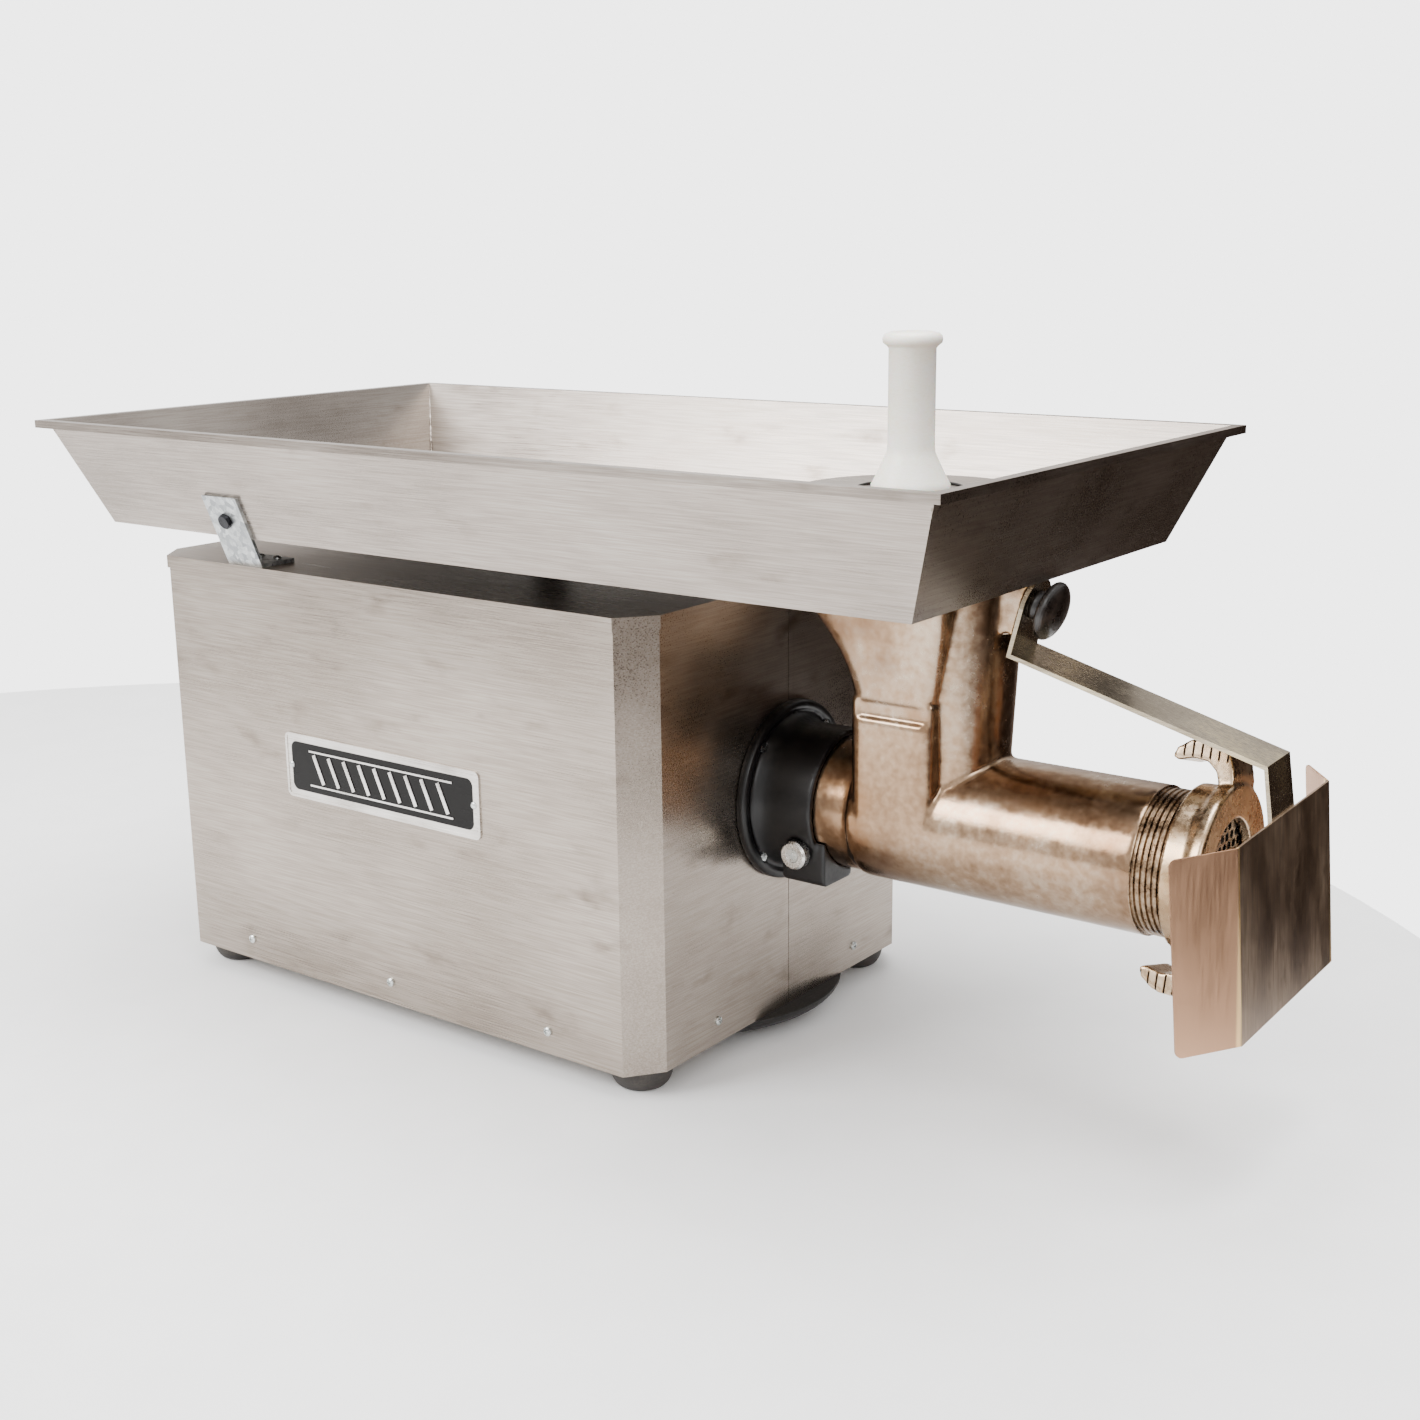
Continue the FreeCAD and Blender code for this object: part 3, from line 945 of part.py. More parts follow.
def make_ring_nut():
    """Ring nut with two curved lugs, its threads drawn as grooves."""
    start = FRONT + NUT_START
    lip = FRONT + HEAD_END + 4.3
    end = lip + NUT_LIP
    bore = THREAD_RADIUS + 0.35
    profile = [(start, bore), (start, NUT_HUB_RADIUS)]
    profile += [(start + 14, NUT_HUB_RADIUS + 0.5), (end - 8, NUT_FACE_RADIUS - 1),
                (end - 2, NUT_FACE_RADIUS), (end, NUT_FACE_RADIUS - 2),
                (end, NUT_LIP_RADIUS + 1.5), (end - 1.5, NUT_LIP_RADIUS),
                (lip, NUT_LIP_RADIUS), (lip, bore)]
    hub = moved(spun(profile), vec(0, 0, AXIS_Z), X_AXIS)
    back = start - NUT_LUG_BACK
    hub_r = NUT_HUB_RADIUS
    top = NUT_LUG_RADIUS
    outline = [(end - 1, hub_r - 2), (end - 2, hub_r + 9), (end - 6, top - 9),
               (end - 13, top - 2), (end - 24, top), (back + 10, top - 4),
               (back + 2, top - 10), (back, top - 16), (back + 4, top - 18),
               (back + 14, top - 15), (back + 24, top - 16), (back + 31, top - 22), (back + 34, hub_r - 2)]
    lug = side_prism(outline, -NUT_LUG_WIDTH / 2, NUT_LUG_WIDTH / 2)
    keep = spun([(back - 5, 0), (back - 5, top), (end + 1, top), (end + 1, 0)])
    lug = lug.common(keep)
    for groove in range(3):
        x = back + 13 + groove * 9
        floor = top - 1.6 - 2.4 * (groove == 0)
        lug = lug.cut(box(x, x + 1.2, -NUT_LUG_WIDTH, NUT_LUG_WIDTH, floor, top + 5))
    lugs = []
    for turn in (0, 180):
        piece = lug.copy()
        piece.rotate(vec(0, 0, 0), X_AXIS, turn + NUT_LUG_TURN)
        piece.translate(vec(0, 0, AXIS_Z))
        lugs.append(piece)
    save("ring_nut", joined([hub] + lugs))


# ---- discharge guard -----------------------------------------------------------------------
def strap_bend():
    """Bend between the strap's upper leg and its long leg."""
    return vec(FRONT + STRAP_BEND_SETOUT, 0, AXIS_Z + STRAP_BEND_RISE)


def boss_face():
    """Face of the head's boss along the knob axis, just behind the strap."""
    return KNOB_AXIS.dot(strap_bend() - KNOB_CENTRE) - STRAP_THICKNESS - STRAP_PLAY


def hung(shape):
    """Swing a shape drawn upright to the guard's rest angle about the knob axis."""
    turned = shape.copy()
    turned.rotate(KNOB_CENTRE, KNOB_AXIS, GUARD_SWING)
    return turned


def make_guard():
    """Bent discharge guard, its hanging strap, rivets, stud and knob."""
    tilt = math.radians(GUARD_TILT)
    pitch = math.radians(GUARD_PITCH)
    bend = strap_bend()
    along = vec(math.cos(tilt), 0, -math.sin(tilt))
    up = vec(math.sin(tilt), 0, math.cos(tilt))
    far_bend = bend + along * STRAP_LENGTH
    guard_top = vec(FRONT + GUARD_TOP_SETOUT, 0, AXIS_Z + GUARD_TOP_RISE)
    down = vec(math.sin(pitch), 0, -math.cos(pitch))
    leg = guard_top - down * 1.0 - vec(math.cos(pitch), 0, math.sin(pitch)) * 0.1
    lap = leg + down * 46.0
    strap_points = [bend + up * 55.0, bend, far_bend, leg, lap]
    thick = STRAP_THICKNESS
    inward = [along * -1, (along + up) * -0.72, vec(-0.72, 0, -0.85), vec(-1, 0, 0), vec(-1, 0, 0)]
    outer = [(p.x, p.z) for p in strap_points]
    inner = [(p.x + d.x * thick, p.z + d.z * thick) for p, d in zip(strap_points, inward)]
    inner[1] = (bend.x - (along.x + up.x) * thick, bend.z - (along.z + up.z) * thick)
    strap = side_prism(outer + inner[::-1], -STRAP_WIDTH / 2, STRAP_WIDTH / 2)
    round_top = moved(rod(-30, 30, STRAP_WIDTH / 2, 0, 0), KNOB_CENTRE, KNOB_AXIS)
    wedge = moved(box(-9, 9, -40, 40, up.dot(KNOB_CENTRE - bend), 99), bend, along)
    strap = strap.cut(wedge.cut(round_top))
    hole = moved(rod(-30, 5, 5.1, 0, 0), KNOB_CENTRE, KNOB_AXIS)
    save("guard_strap", hung(strap.cut(hole)))

    turn = math.radians(GUARD_WING_ANGLE)
    half = GUARD_WIDTH / 2
    t = GUARD_THICKNESS
    tip_x = -GUARD_WING * math.cos(turn)
    tip_y = half + GUARD_WING * math.sin(turn)
    nick = t * math.tan((math.pi / 2 - turn) / 2 + 0.25)
    outline = [(0, -half), (0, half), (tip_x, tip_y),
               (tip_x - t * math.sin(turn), tip_y - t * math.cos(turn)),
               (-t, half - nick), (-t, -half + nick),
               (tip_x - t * math.sin(turn), -tip_y + t * math.cos(turn)), (tip_x, -tip_y)]
    sheet = prism(outline, -GUARD_HEIGHT, 0)
    wing_cut = []
    for z, sign in ((0, -1), (-GUARD_HEIGHT, 1)):
        for side in (-1, 1):
            corner = vec(tip_x, side * tip_y, z)
            direction = vec(math.cos(turn), -side * math.sin(turn), 0)
            reach = sign * GUARD_CORNER
            square = box(-1, GUARD_CORNER, -5, 5, min(0, reach), max(0, reach))
            square = square.cut(Part.makeCylinder(GUARD_CORNER, 20, vec(GUARD_CORNER, -10, reach), Y_AXIS))
            wing_cut.append(moved(square, corner, direction))
    sheet = cut_all(sheet, wing_cut)
    sheet.rotate(vec(0, 0, 0), Y_AXIS, -GUARD_PITCH)
    sheet.translate(guard_top + vec(t, 0, 0))
    save("discharge_guard", hung(sheet))

    save("guard_stud", moved(rod(boss_face() - 22, -KNOB_BLIND - 0.5, 5.0, 0, 0), KNOB_CENTRE, KNOB_AXIS))
    face = boss_face() + STRAP_THICKNESS + 2 * STRAP_PLAY
    radius = KNOB_RADIUS
    profile = [(face, 5.1), (face, 10.5), (face + 1.5, 11)]
    profile += [(face + 5, 9.5), (face + 7.5, 10.5)]
    profile += arc((face + 11.5, radius - 3), (3.2, 3.0), 200, 90, 5)
    profile += arc((face + 11.5, 0), (8.5, radius), 84, 0, 10)
    profile += [(-KNOB_BLIND, 0), (-KNOB_BLIND, 5.1)]
    save("guard_knob", moved(spun(profile), KNOB_CENTRE, KNOB_AXIS))


# ---- feed tray -----------------------------------------------------------------------------
def frustum(inset, z0, z1):
    """Tapered tray block between two heights, set in from the outer faces."""
    wires = []
    for z in (z0, z1):
        share = (z - TRAY_FLOOR) / TRAY_DEPTH
        front = FRONT + TRAY_FRONT_FLOOR + (TRAY_FRONT_TOP - TRAY_FRONT_FLOOR) * share - inset
        back = REAR - TRAY_BACK_FLOOR - (TRAY_BACK_TOP - TRAY_BACK_FLOOR) * share + inset
        half = TRAY_HALF_FLOOR + (TRAY_HALF_TOP - TRAY_HALF_FLOOR) * share - inset
        corners = [vec(back, -half, z), vec(front, -half, z), vec(front, half, z), vec(back, half, z)]
        wires.append(Part.makePolygon(corners + corners[:1]))
    return Part.makeLoft(wires, True, True)


def tray_frame(outset, z0, z1):
    """Level block around the tray's mouth."""
    return box(REAR - TRAY_BACK_TOP - outset, FRONT + TRAY_FRONT_TOP + outset,
               -TRAY_HALF_TOP - outset, TRAY_HALF_TOP + outset, z0, z1)


def bracket_bolt_places():
    """Places and outward directions of the bolts through the tray wall."""
    slope = (TRAY_HALF_TOP - TRAY_HALF_FLOOR) / TRAY_DEPTH
    y = TRAY_HALF_FLOOR + slope * BRACKET_BOLT_RISE
    places = []
    for side in (-1, 1):
        out = vec(0, side, -slope)
        out.normalize()
        places.append((vec(BRACKET_X, side * y, TRAY_FLOOR + BRACKET_BOLT_RISE), out))
    return places


def bracket_screw_places():
    """Screws that hold the bracket feet to the lid."""
    y = TRAY_HALF_FLOOR - BRACKET_FOOT
    return [vec(BRACKET_X + step * 10, side * y, CASE_TOP) for side in (-1, 1) for step in (-1, 1)]


def shield_post_places():
    """Centres of the three posts that carry the feed shield."""
    middle = FRONT + FEED_SETOUT
    return [(middle + SHIELD_POST_CIRCLE * math.cos(math.radians(a)),
             SHIELD_POST_CIRCLE * math.sin(math.radians(a))) for a in (90, 210, 330)]


def make_tray():
    """Feed tray with folded rim, its brackets, bolts and screws."""
    tray = frustum(0, TRAY_FLOOR, TRAY_TOP).cut(frustum(SHEET, TRAY_FLOOR + SHEET, TRAY_TOP + 5))
    rim = tray_frame(RIM_OUT, TRAY_TOP - SHEET, TRAY_TOP)
    rim = rim.cut(tray_frame(-SHEET, TRAY_TOP - 9, TRAY_TOP + 9))
    skirt = tray_frame(RIM_OUT, TRAY_TOP - RIM_DOWN, TRAY_TOP)
    skirt = skirt.cut(tray_frame(RIM_OUT - SHEET, TRAY_TOP - 19, TRAY_TOP + 9))
    inner = frustum(SHEET, TRAY_FLOOR + SHEET, TRAY_TOP + 5)
    tray = joined([tray, rim.cut(inner), skirt])
    tools = [drill(at, out, 3.1, 8) for at, out in bracket_bolt_places()] + [feed_opening()]
    save("feed_tray", cut_all(tray, tools))

    slope = (TRAY_HALF_TOP - TRAY_HALF_FLOOR) / TRAY_DEPTH
    t = BRACKET_THICKNESS
    gap = 0.1
    bolts = []
    for side, name in ((-1, "near"), (1, "far")):
        foot_y = TRAY_HALF_FLOOR - slope * TRAY_GAP + gap
        top_y = TRAY_HALF_FLOOR + slope * BRACKET_RISE + gap
        points = [(foot_y - BRACKET_FOOT, CASE_TOP), (foot_y + t, CASE_TOP),
                  (top_y + t, TRAY_FLOOR + BRACKET_RISE), (top_y, TRAY_FLOOR + BRACKET_RISE),
                  (foot_y + slope * t, CASE_TOP + t),
                  (foot_y - BRACKET_FOOT, CASE_TOP + t)]
        corners = [vec(BRACKET_X - BRACKET_WIDTH / 2, side * y, z) for y, z in points]
        bracket = Part.Face(Part.makePolygon(corners + corners[:1])).extrude(vec(BRACKET_WIDTH, 0, 0))
        at, out = bracket_bolt_places()[(side + 1) // 2]
        tools = [drill(at, out, 3.1, 12)]
        tools += [drill(place, Z_AXIS, 2.1, 12) for place in bracket_screw_places()]
        save("tray_bracket_" + name, cut_all(bracket, tools))
        bolts.append(moved(hex_bolt(11, 4.0, 3.0, 14), at + out * (t + gap + 0.1), out))
        bolts.append(moved(hex_bolt(10, 5.0, 3.0, 0.2), at - out * (SHEET + 5.6), out)
                     .cut(Part.makeCylinder(3.1, 60, at - out * 40, out)))
    save("tray_bolts", Part.makeCompound(bolts))


def feed_opening():
    """Tool for the hole in the tray floor over the throat."""
    middle = FRONT + FEED_SETOUT
    x0 = FRONT + BLOCK_START - THROAT_BACK_FLARE + THROAT_WALL
    x1 = FRONT + BLOCK_END + 14 - THROAT_WALL
    half = BLOCK_HALF + 8 - THROAT_WALL
    x0 = min(x0, middle - PLUNGER_RADIUS - 2)
    return box(x0, x1, -half, half, TRAY_FLOOR - 1, TRAY_FLOOR + SHEET + 1)


def make_feed_shield():
    """Raised shield over the throat, its posts, sealing ring and the stomper."""
    middle = FRONT + FEED_SETOUT
    level = TRAY_FLOOR + SHIELD_RISE
    profile = [(-6, SHIELD_RADIUS - 1.5), (-6, SHIELD_RADIUS), (-1.5, SHIELD_RADIUS),
               (0, SHIELD_RADIUS - 1.5),
               (0, SHIELD_HOLE), (-1.5, SHIELD_HOLE), (-1.5, SHIELD_RADIUS - 1.5)]
    shield = moved(spun(profile), vec(middle, 0, level), Z_AXIS)
    posts = [post(TRAY_FLOOR + SHEET, level - 1, SHIELD_POST_RADIUS, x, y) for x, y in shield_post_places()]
    save("feed_shield", joined([shield] + posts))
    band = Part.makeTorus(SHIELD_RING, 0.9, vec(middle, 0, level + 0.9), Z_AXIS)
    save("shield_ring", band)

    base = 0.3
    profile = [(base - PLUNGER_LENGTH, 0), (base - PLUNGER_LENGTH, PLUNGER_RADIUS - 4)]
    profile += arc((base - PLUNGER_LENGTH + 4, PLUNGER_RADIUS - 4), (4, 4), 180, 90, 5)
    profile += [(base, PLUNGER_RADIUS), (base, STOMPER_FLARE - 1), (base + 2.5, STOMPER_FLARE)]
    profile += [(base + 23, STOMPER_GRIP + 0.8), (base + 27, STOMPER_GRIP)]
    neck = STOMPER_RISE - 13.5
    profile += [(neck - 4, STOMPER_GRIP), (neck + 2, STOMPER_GRIP + 1.2), (neck + 4, STOMPER_HEAD - 0.5)]
    profile += arc((STOMPER_RISE - 5, STOMPER_HEAD - 6), (5, 6), 90, 0, 6)
    profile += [(STOMPER_RISE, 0)]
    save("stomper", moved(spun(profile), vec(middle, 0, level), Z_AXIS))


# ---- push buttons and cable inlet ----------------------------------------------------------
def switch_screw_places():
    """Places and outward direction of the switch plate's screws."""
    x = FRONT - SWITCH_SETBACK
    z = CASE_BOTTOM + SWITCH_RISE
    return [(vec(x + i * (SWITCH_WIDTH / 2 - 5), SIDE, z + j * (SWITCH_HEIGHT / 2 - 6)), Y_AXIS)
            for i in (-1, 1) for j in (-1, 1)]


def make_switch():
    """Push-button station on the far side, and the cable gland in the rear face."""
    x = FRONT - SWITCH_SETBACK
    z = CASE_BOTTOM + SWITCH_RISE
    plate_t = SWITCH_PLATE
    plate = rounded_plate(SWITCH_WIDTH, SWITCH_HEIGHT, 5, plate_t)
    plate.translate(vec(x, SIDE + plate_t, z))
    hole_radius = BUTTON_RADIUS + 0.5
    holes = [Part.makeCylinder(hole_radius, 20, vec(x, SIDE - 5, z + side * BUTTON_SPREAD), Y_AXIS)
             for side in (-1, 1)]
    holes += [drill(at, out, 2.1, 8) for at, out in switch_screw_places()]
    save("switch_plate", cut_all(plate, holes))
    depth = 42.0
    body = box(x - 26, x + 26, SIDE - depth, SIDE, z - 44, z + 44)
    wells = [Part.makeCylinder(hole_radius, 14, vec(x, SIDE - 13, z + side * BUTTON_SPREAD), Y_AXIS)
             for side in (-1, 1)]
    save("switch_body", cut_all(body, wells))
    for side, name in ((1, "start_button"), (-1, "stop_button")):
        cap = spun([(-5, 0), (-5, BUTTON_RADIUS), (plate_t + BUTTON_OUT - 1.5, BUTTON_RADIUS),
                    (plate_t + BUTTON_OUT, BUTTON_RADIUS - 1.5), (plate_t + BUTTON_OUT, 0)])
        save(name, moved(cap, vec(x, SIDE, z + side * BUTTON_SPREAD), Y_AXIS))
    at = vec(REAR, GLAND_Y, CASE_BOTTOM + GLAND_RISE)
    bore = GLAND_RADIUS - 4
    gland = spun([(-12, bore), (-12, GLAND_RADIUS), (0, GLAND_RADIUS), (0, GLAND_RADIUS + 3),
                  (6, GLAND_RADIUS + 3), (7, GLAND_RADIUS + 1.5), (16, GLAND_RADIUS), (20, bore + 2),
                  (20, bore)])
    save("cable_gland", moved(gland, at, X_AXIS * -1))


def main():
    """Write every sub-part."""
    os.makedirs("parts", exist_ok=True)
    make_casing()
    make_feet()
    make_nameplate()
    make_gearbox()
    make_output_line()
    make_counter_line()
    make_motor()
    make_flange()
    make_head()
    make_ring_nut()
    make_guard()
    make_tray()
    make_feed_shield()
    make_switch()


main()
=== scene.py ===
"""An electric meat grinder in metres: steel casing, cast bronze head, feed tray, guard and stomper."""
import logging
import math
from dataclasses import dataclass, field
from enum import Enum
from typing import Any

import bpy
from mathutils import Matrix, Vector


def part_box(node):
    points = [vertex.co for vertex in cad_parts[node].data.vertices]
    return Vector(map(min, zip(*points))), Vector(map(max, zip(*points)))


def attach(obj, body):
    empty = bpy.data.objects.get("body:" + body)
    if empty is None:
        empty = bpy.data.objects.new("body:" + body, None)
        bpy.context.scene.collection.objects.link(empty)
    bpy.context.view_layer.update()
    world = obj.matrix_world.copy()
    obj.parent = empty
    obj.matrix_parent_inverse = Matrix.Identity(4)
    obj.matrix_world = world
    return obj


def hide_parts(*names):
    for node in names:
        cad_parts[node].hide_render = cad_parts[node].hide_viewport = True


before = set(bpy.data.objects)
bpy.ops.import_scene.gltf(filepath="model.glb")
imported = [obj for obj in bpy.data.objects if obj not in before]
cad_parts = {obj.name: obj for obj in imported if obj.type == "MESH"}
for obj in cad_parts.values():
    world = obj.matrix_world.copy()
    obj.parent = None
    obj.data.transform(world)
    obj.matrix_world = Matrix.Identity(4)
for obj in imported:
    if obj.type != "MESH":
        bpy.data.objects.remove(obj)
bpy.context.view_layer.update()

LOG = logging.getLogger("grinder")
MM = 0.001
SHINE = "Specular IOR Level"
CAST_ANGLE = 60.0  # faces of a casting that meet at less than this, in degrees, shade as one
NODES: dict[str, bpy.types.Object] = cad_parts
Colour = tuple[float, float, float, float]
Size = tuple[float, float, float]


class Body(str, Enum):
    """The moving bodies that pieces ride on."""

    MACHINE = "machine"
    RING_NUT = "ring_nut"
    STOMPER = "stomper"


class Coat(str, Enum):
    """The shader sockets that a clear or oily film over a finish sets."""

    WEIGHT = "Coat Weight"
    ROUGHNESS = "Coat Roughness"


def linear(code: str) -> Colour:
    """Turns an sRGB hex colour to linear.

    Args:
        code: six hex digits, with or without a leading #.

    Returns:
        The red, green, blue and alpha values in linear light.
    """
    digits = code.lstrip("#")
    parts = [int(digits[i:i + 2], 16) / 255 for i in (0, 2, 4)]
    red, green, blue = [p / 12.92 if p <= 0.04045 else ((p + 0.055) / 1.055) ** 2.4 for p in parts]
    return red, green, blue, 1.0


def add(tree: bpy.types.NodeTree, kind: str, feeds: dict[Any, Any] | None = None,
        stops: tuple[tuple[float, Colour], ...] = (), **settings: Any) -> bpy.types.Node:
    """Adds one node with its settings and links.

    Args:
        tree: the node tree it goes into.
        kind: the node's type name.
        feeds: what goes into each input, by name or number: a socket to link, or a plain value.
        stops: the places and colours of a colour ramp.
        settings: the node's own properties.

    Returns:
        The new node.
    """
    made = tree.nodes.new(kind)
    for key, value in settings.items():
        setattr(made, key, value)
    if stops:
        elements = made.color_ramp.elements
        elements[0].position, elements[0].color = stops[0]
        elements[1].position, elements[1].color = stops[-1]
        for place, colour in stops[1:-1]:
            elements.new(place).color = colour
    for key, value in (feeds or {}).items():
        if isinstance(value, bpy.types.NodeSocket):
            tree.links.new(value, made.inputs[key])
        else:
            made.inputs[key].default_value = value
    return made


class Surface:
    """A material while it is being built: its tree, its shader and the place on the piece in mm."""

    def __init__(self, name: str) -> None:
        """Starts a material with that name."""
        self.material = bpy.data.materials.new(name)
        self.material.use_nodes = True
        self.tree = self.material.node_tree
        self.shader = self.tree.nodes["Principled BSDF"]
        coords = add(self.tree, "ShaderNodeTexCoord")
        scaled = add(self.tree, "ShaderNodeVectorMath", {0: coords.outputs["Object"], 3: 1 / MM},
                     operation="SCALE")
        self.place = scaled.outputs[0]
        self.geometry = add(self.tree, "ShaderNodeNewGeometry")

    def cloud(self, size: Size, detail: float = 3.0, seed: float = 0.0) -> bpy.types.NodeSocket:
        """Lays a soft random pattern over the piece.

        Args:
            size: how long one patch is along x, y and z, in mm.
            detail: how many finer layers it has.
            seed: moves the pattern, so that two of one size differ.

        Returns:
            The pattern's value, mostly from 0.3 to 0.7.
        """
        scaled = add(self.tree, "ShaderNodeMapping", {
            "Vector": self.place, "Scale": tuple(1 / s for s in size), "Location": (seed, seed, seed)})
        noise = add(self.tree, "ShaderNodeTexNoise", {
            "Vector": scaled.outputs[0], "Scale": 1.0, "Detail": detail})
        return noise.outputs[0]

    def blend(self, factor: bpy.types.NodeSocket, low: Any, high: Any,
              share: tuple[float, float] = (0.0, 1.0)) -> bpy.types.NodeSocket:
        """Goes from one colour to another as a value rises.

        Args:
            factor: the value.
            low: the colour, or its socket, where the value is low.
            high: the colour, or its socket, where the value is high.
            share: the two values between which it changes.

        Returns:
            The blended colour.
        """
        ranged = add(self.tree, "ShaderNodeMapRange", {0: factor, 1: share[0], 2: share[1]},
                     interpolation_type="SMOOTHSTEP")
        mixed = add(self.tree, "ShaderNodeMix", {0: ranged.outputs[0], 6: low, 7: high}, data_type="RGBA")
        return mixed.outputs[2]

    def relief(self, height: bpy.types.NodeSocket, depth: float) -> None:
        """Gives the surface a fine relief, over any that it has.

        Args:
            height: the pattern that it follows.
            depth: its height in mm.
        """
        bump = add(self.tree, "ShaderNodeBump", {"Height": height, "Distance": depth * MM, "Strength": 1.0})
        link = self.shader.inputs["Normal"].links
        if link:
            self.tree.links.new(link[0].from_socket, bump.inputs["Normal"])
        self.tree.links.new(bump.outputs[0], self.shader.inputs["Normal"])


@dataclass(frozen=True)
class Finish:
    """A finish that varies in colour, gloss and relief; special ones build on it.

    Fields:
        name: the real material and its process.
        tones: sRGB colours of its low, main and worn parts.
        metallic: 1 for bare metal, 0 for anything else.
        gloss: the lowest and highest roughness.
        broad: length of its large patches along x, y and z, in mm.
        fine: length of its grain along x, y and z, in mm.
        depth: height of the grain in mm.
        edge: how far worn edges take the last tone, from 0 to 1.
        sockets: values that are the same all over, by the shader's own input.
    """

    name: str
    tones: tuple[str, str, str]
    metallic: float
    gloss: tuple[float, float]
    broad: Size = (60.0, 60.0, 60.0)
    fine: Size = (2.0, 2.0, 2.0)
    depth: float = 0.02
    edge: float = 0.0
    sockets: tuple[tuple[str, Any], ...] = ()

    def colour(self, surface: Surface, broad: bpy.types.NodeSocket,
               fine: bpy.types.NodeSocket) -> bpy.types.NodeSocket:
        """Mixes the tones.

        Args:
            surface: the material being built.
            broad: the pattern of large patches.
            fine: the grain.

        Returns:
            The colour over the piece.
        """
        low, main, worn = (linear(tone) for tone in self.tones)
        mixed = add(surface.tree, "ShaderNodeMix", {0: 0.35, 2: broad, 3: fine})
        ramp = add(surface.tree, "ShaderNodeValToRGB", {0: mixed.outputs[0]},
                   ((0.36, low), (0.5, main), (0.64, worn)))
        if not self.edge:
            return ramp.outputs[0]
        rim = surface.geometry.outputs["Pointiness"]
        return surface.blend(rim, ramp.outputs[0], worn, (0.5, 0.5 + 0.12 / self.edge))

    def make(self) -> bpy.types.Material:
        """Builds the material and returns it."""
        surface = Surface(self.name)
        broad = surface.cloud(self.broad, 4.0)
        fine = surface.cloud(self.fine, 2.0, 3.7)
        surface.tree.links.new(self.colour(surface, broad, fine), surface.shader.inputs["Base Color"])
        rough = add(surface.tree, "ShaderNodeMix", {0: 0.45, 2: broad, 3: fine})
        ranged = add(surface.tree, "ShaderNodeMapRange", {
            0: rough.outputs[0], 1: 0.36, 2: 0.64, 3: self.gloss[0], 4: self.gloss[1]})
        surface.tree.links.new(ranged.outputs[0], surface.shader.inputs["Roughness"])
        surface.shader.inputs["Metallic"].default_value = self.metallic
        for name, value in self.sockets:
            surface.shader.inputs[name].default_value = value
        if self.depth:
            surface.relief(fine, self.depth)
        self.detail(surface)
        return surface.material

    def detail(self, surface: Surface) -> None:
        """Adds what only this finish has; a plain one has nothing more."""


@dataclass(frozen=True)
class BrushedSheet(Finish):
    """Cold-rolled stainless sheet, belt-brushed level: long fine lines, cloudy handling marks."""

    line: float = 1.0
    run: float = 45.0
    stain: str = "#6e6257"

    def detail(self, surface: Surface) -> None:
        """Lays the brushing level on the faces across x as well, and rubs in a few smears."""
        tree = surface.tree
        along = surface.cloud((self.run, self.line, self.line), 3.0, 1.3)
        across = surface.cloud((self.line, self.run, self.line), 3.0, 5.1)
        normal = add(tree, "ShaderNodeSeparateXYZ", {0: surface.geometry.outputs["Normal"]})
        side = add(tree, "ShaderNodeMath", {0: normal.outputs[0]}, operation="ABSOLUTE")
        grain = add(tree, "ShaderNodeMix", {0: side.outputs[0], 2: along, 3: across})
        surface.relief(grain.outputs[0], self.depth)
        socket = surface.shader.inputs["Base Color"]
        shade = surface.blend(grain.outputs[0], linear("#dcd8d4"), linear("#ffffff"), (0.38, 0.62))
        toned = add(tree, "ShaderNodeMix", {0: 0.55, 6: socket.links[0].from_socket, 7: shade},
                    data_type="RGBA", blend_type="MULTIPLY")
        smear = surface.cloud((48.0, 48.0, 22.0), 6.0, 8.4)
        wiped = surface.blend(smear, toned.outputs[2], linear(self.stain), (0.56, 0.92))
        tree.links.new(wiped, socket)


@dataclass(frozen=True)
class GuardSheet(Finish):
    """Stainless sheet rubbed dull by hand up and down: smoky streaks, with painted light on the wings and a
    painted highlight along each bend.
    """

    bend: float = 79.5
    centre: float = 5.0

    def detail(self, surface: Surface) -> None:
        """Paints the wings lighter and warmer as lit, paints a highlight along each bend, and rubs streaks
        up and down the middle.
        """
        tree = surface.tree
        place = add(tree, "ShaderNodeSeparateXYZ", {0: surface.place})
        across = add(tree, "ShaderNodeMath", {0: place.outputs[1], 1: self.centre}, operation="SUBTRACT")
        away = add(tree, "ShaderNodeMath", {0: across.outputs[0]}, operation="ABSOLUTE")
        streak = surface.cloud((5.0, 3.2, 46.0), 4.0, 2.2)
        scuff = surface.cloud((14.0, 9.0, 22.0), 5.0, 6.6)
        socket = surface.shader.inputs["Base Color"]
        rubbed = surface.blend(streak, socket.links[0].from_socket, linear("#8d7763"), (0.46, 0.72))
        worn = surface.blend(scuff, rubbed, linear("#74614f"), (0.55, 0.85))
        # Painted light: beyond each bend the wings take a lighter, warmer tone than the middle.
        painted_lit_wing = surface.blend(away.outputs[0], worn, linear("#cba182"), (self.bend - 0.6, self.bend + 0.6))
        off = add(tree, "ShaderNodeMath", {0: away.outputs[0], 1: self.bend}, operation="SUBTRACT")
        near = add(tree, "ShaderNodeMath", {0: off.outputs[0]}, operation="ABSOLUTE")
        # Painted highlight: a thin pale gold line along each bend.
        painted_edge_highlight = surface.blend(near.outputs[0], linear("#ffd9a0"), painted_lit_wing, (0.4, 2.2))
        tree.links.new(painted_edge_highlight, socket)


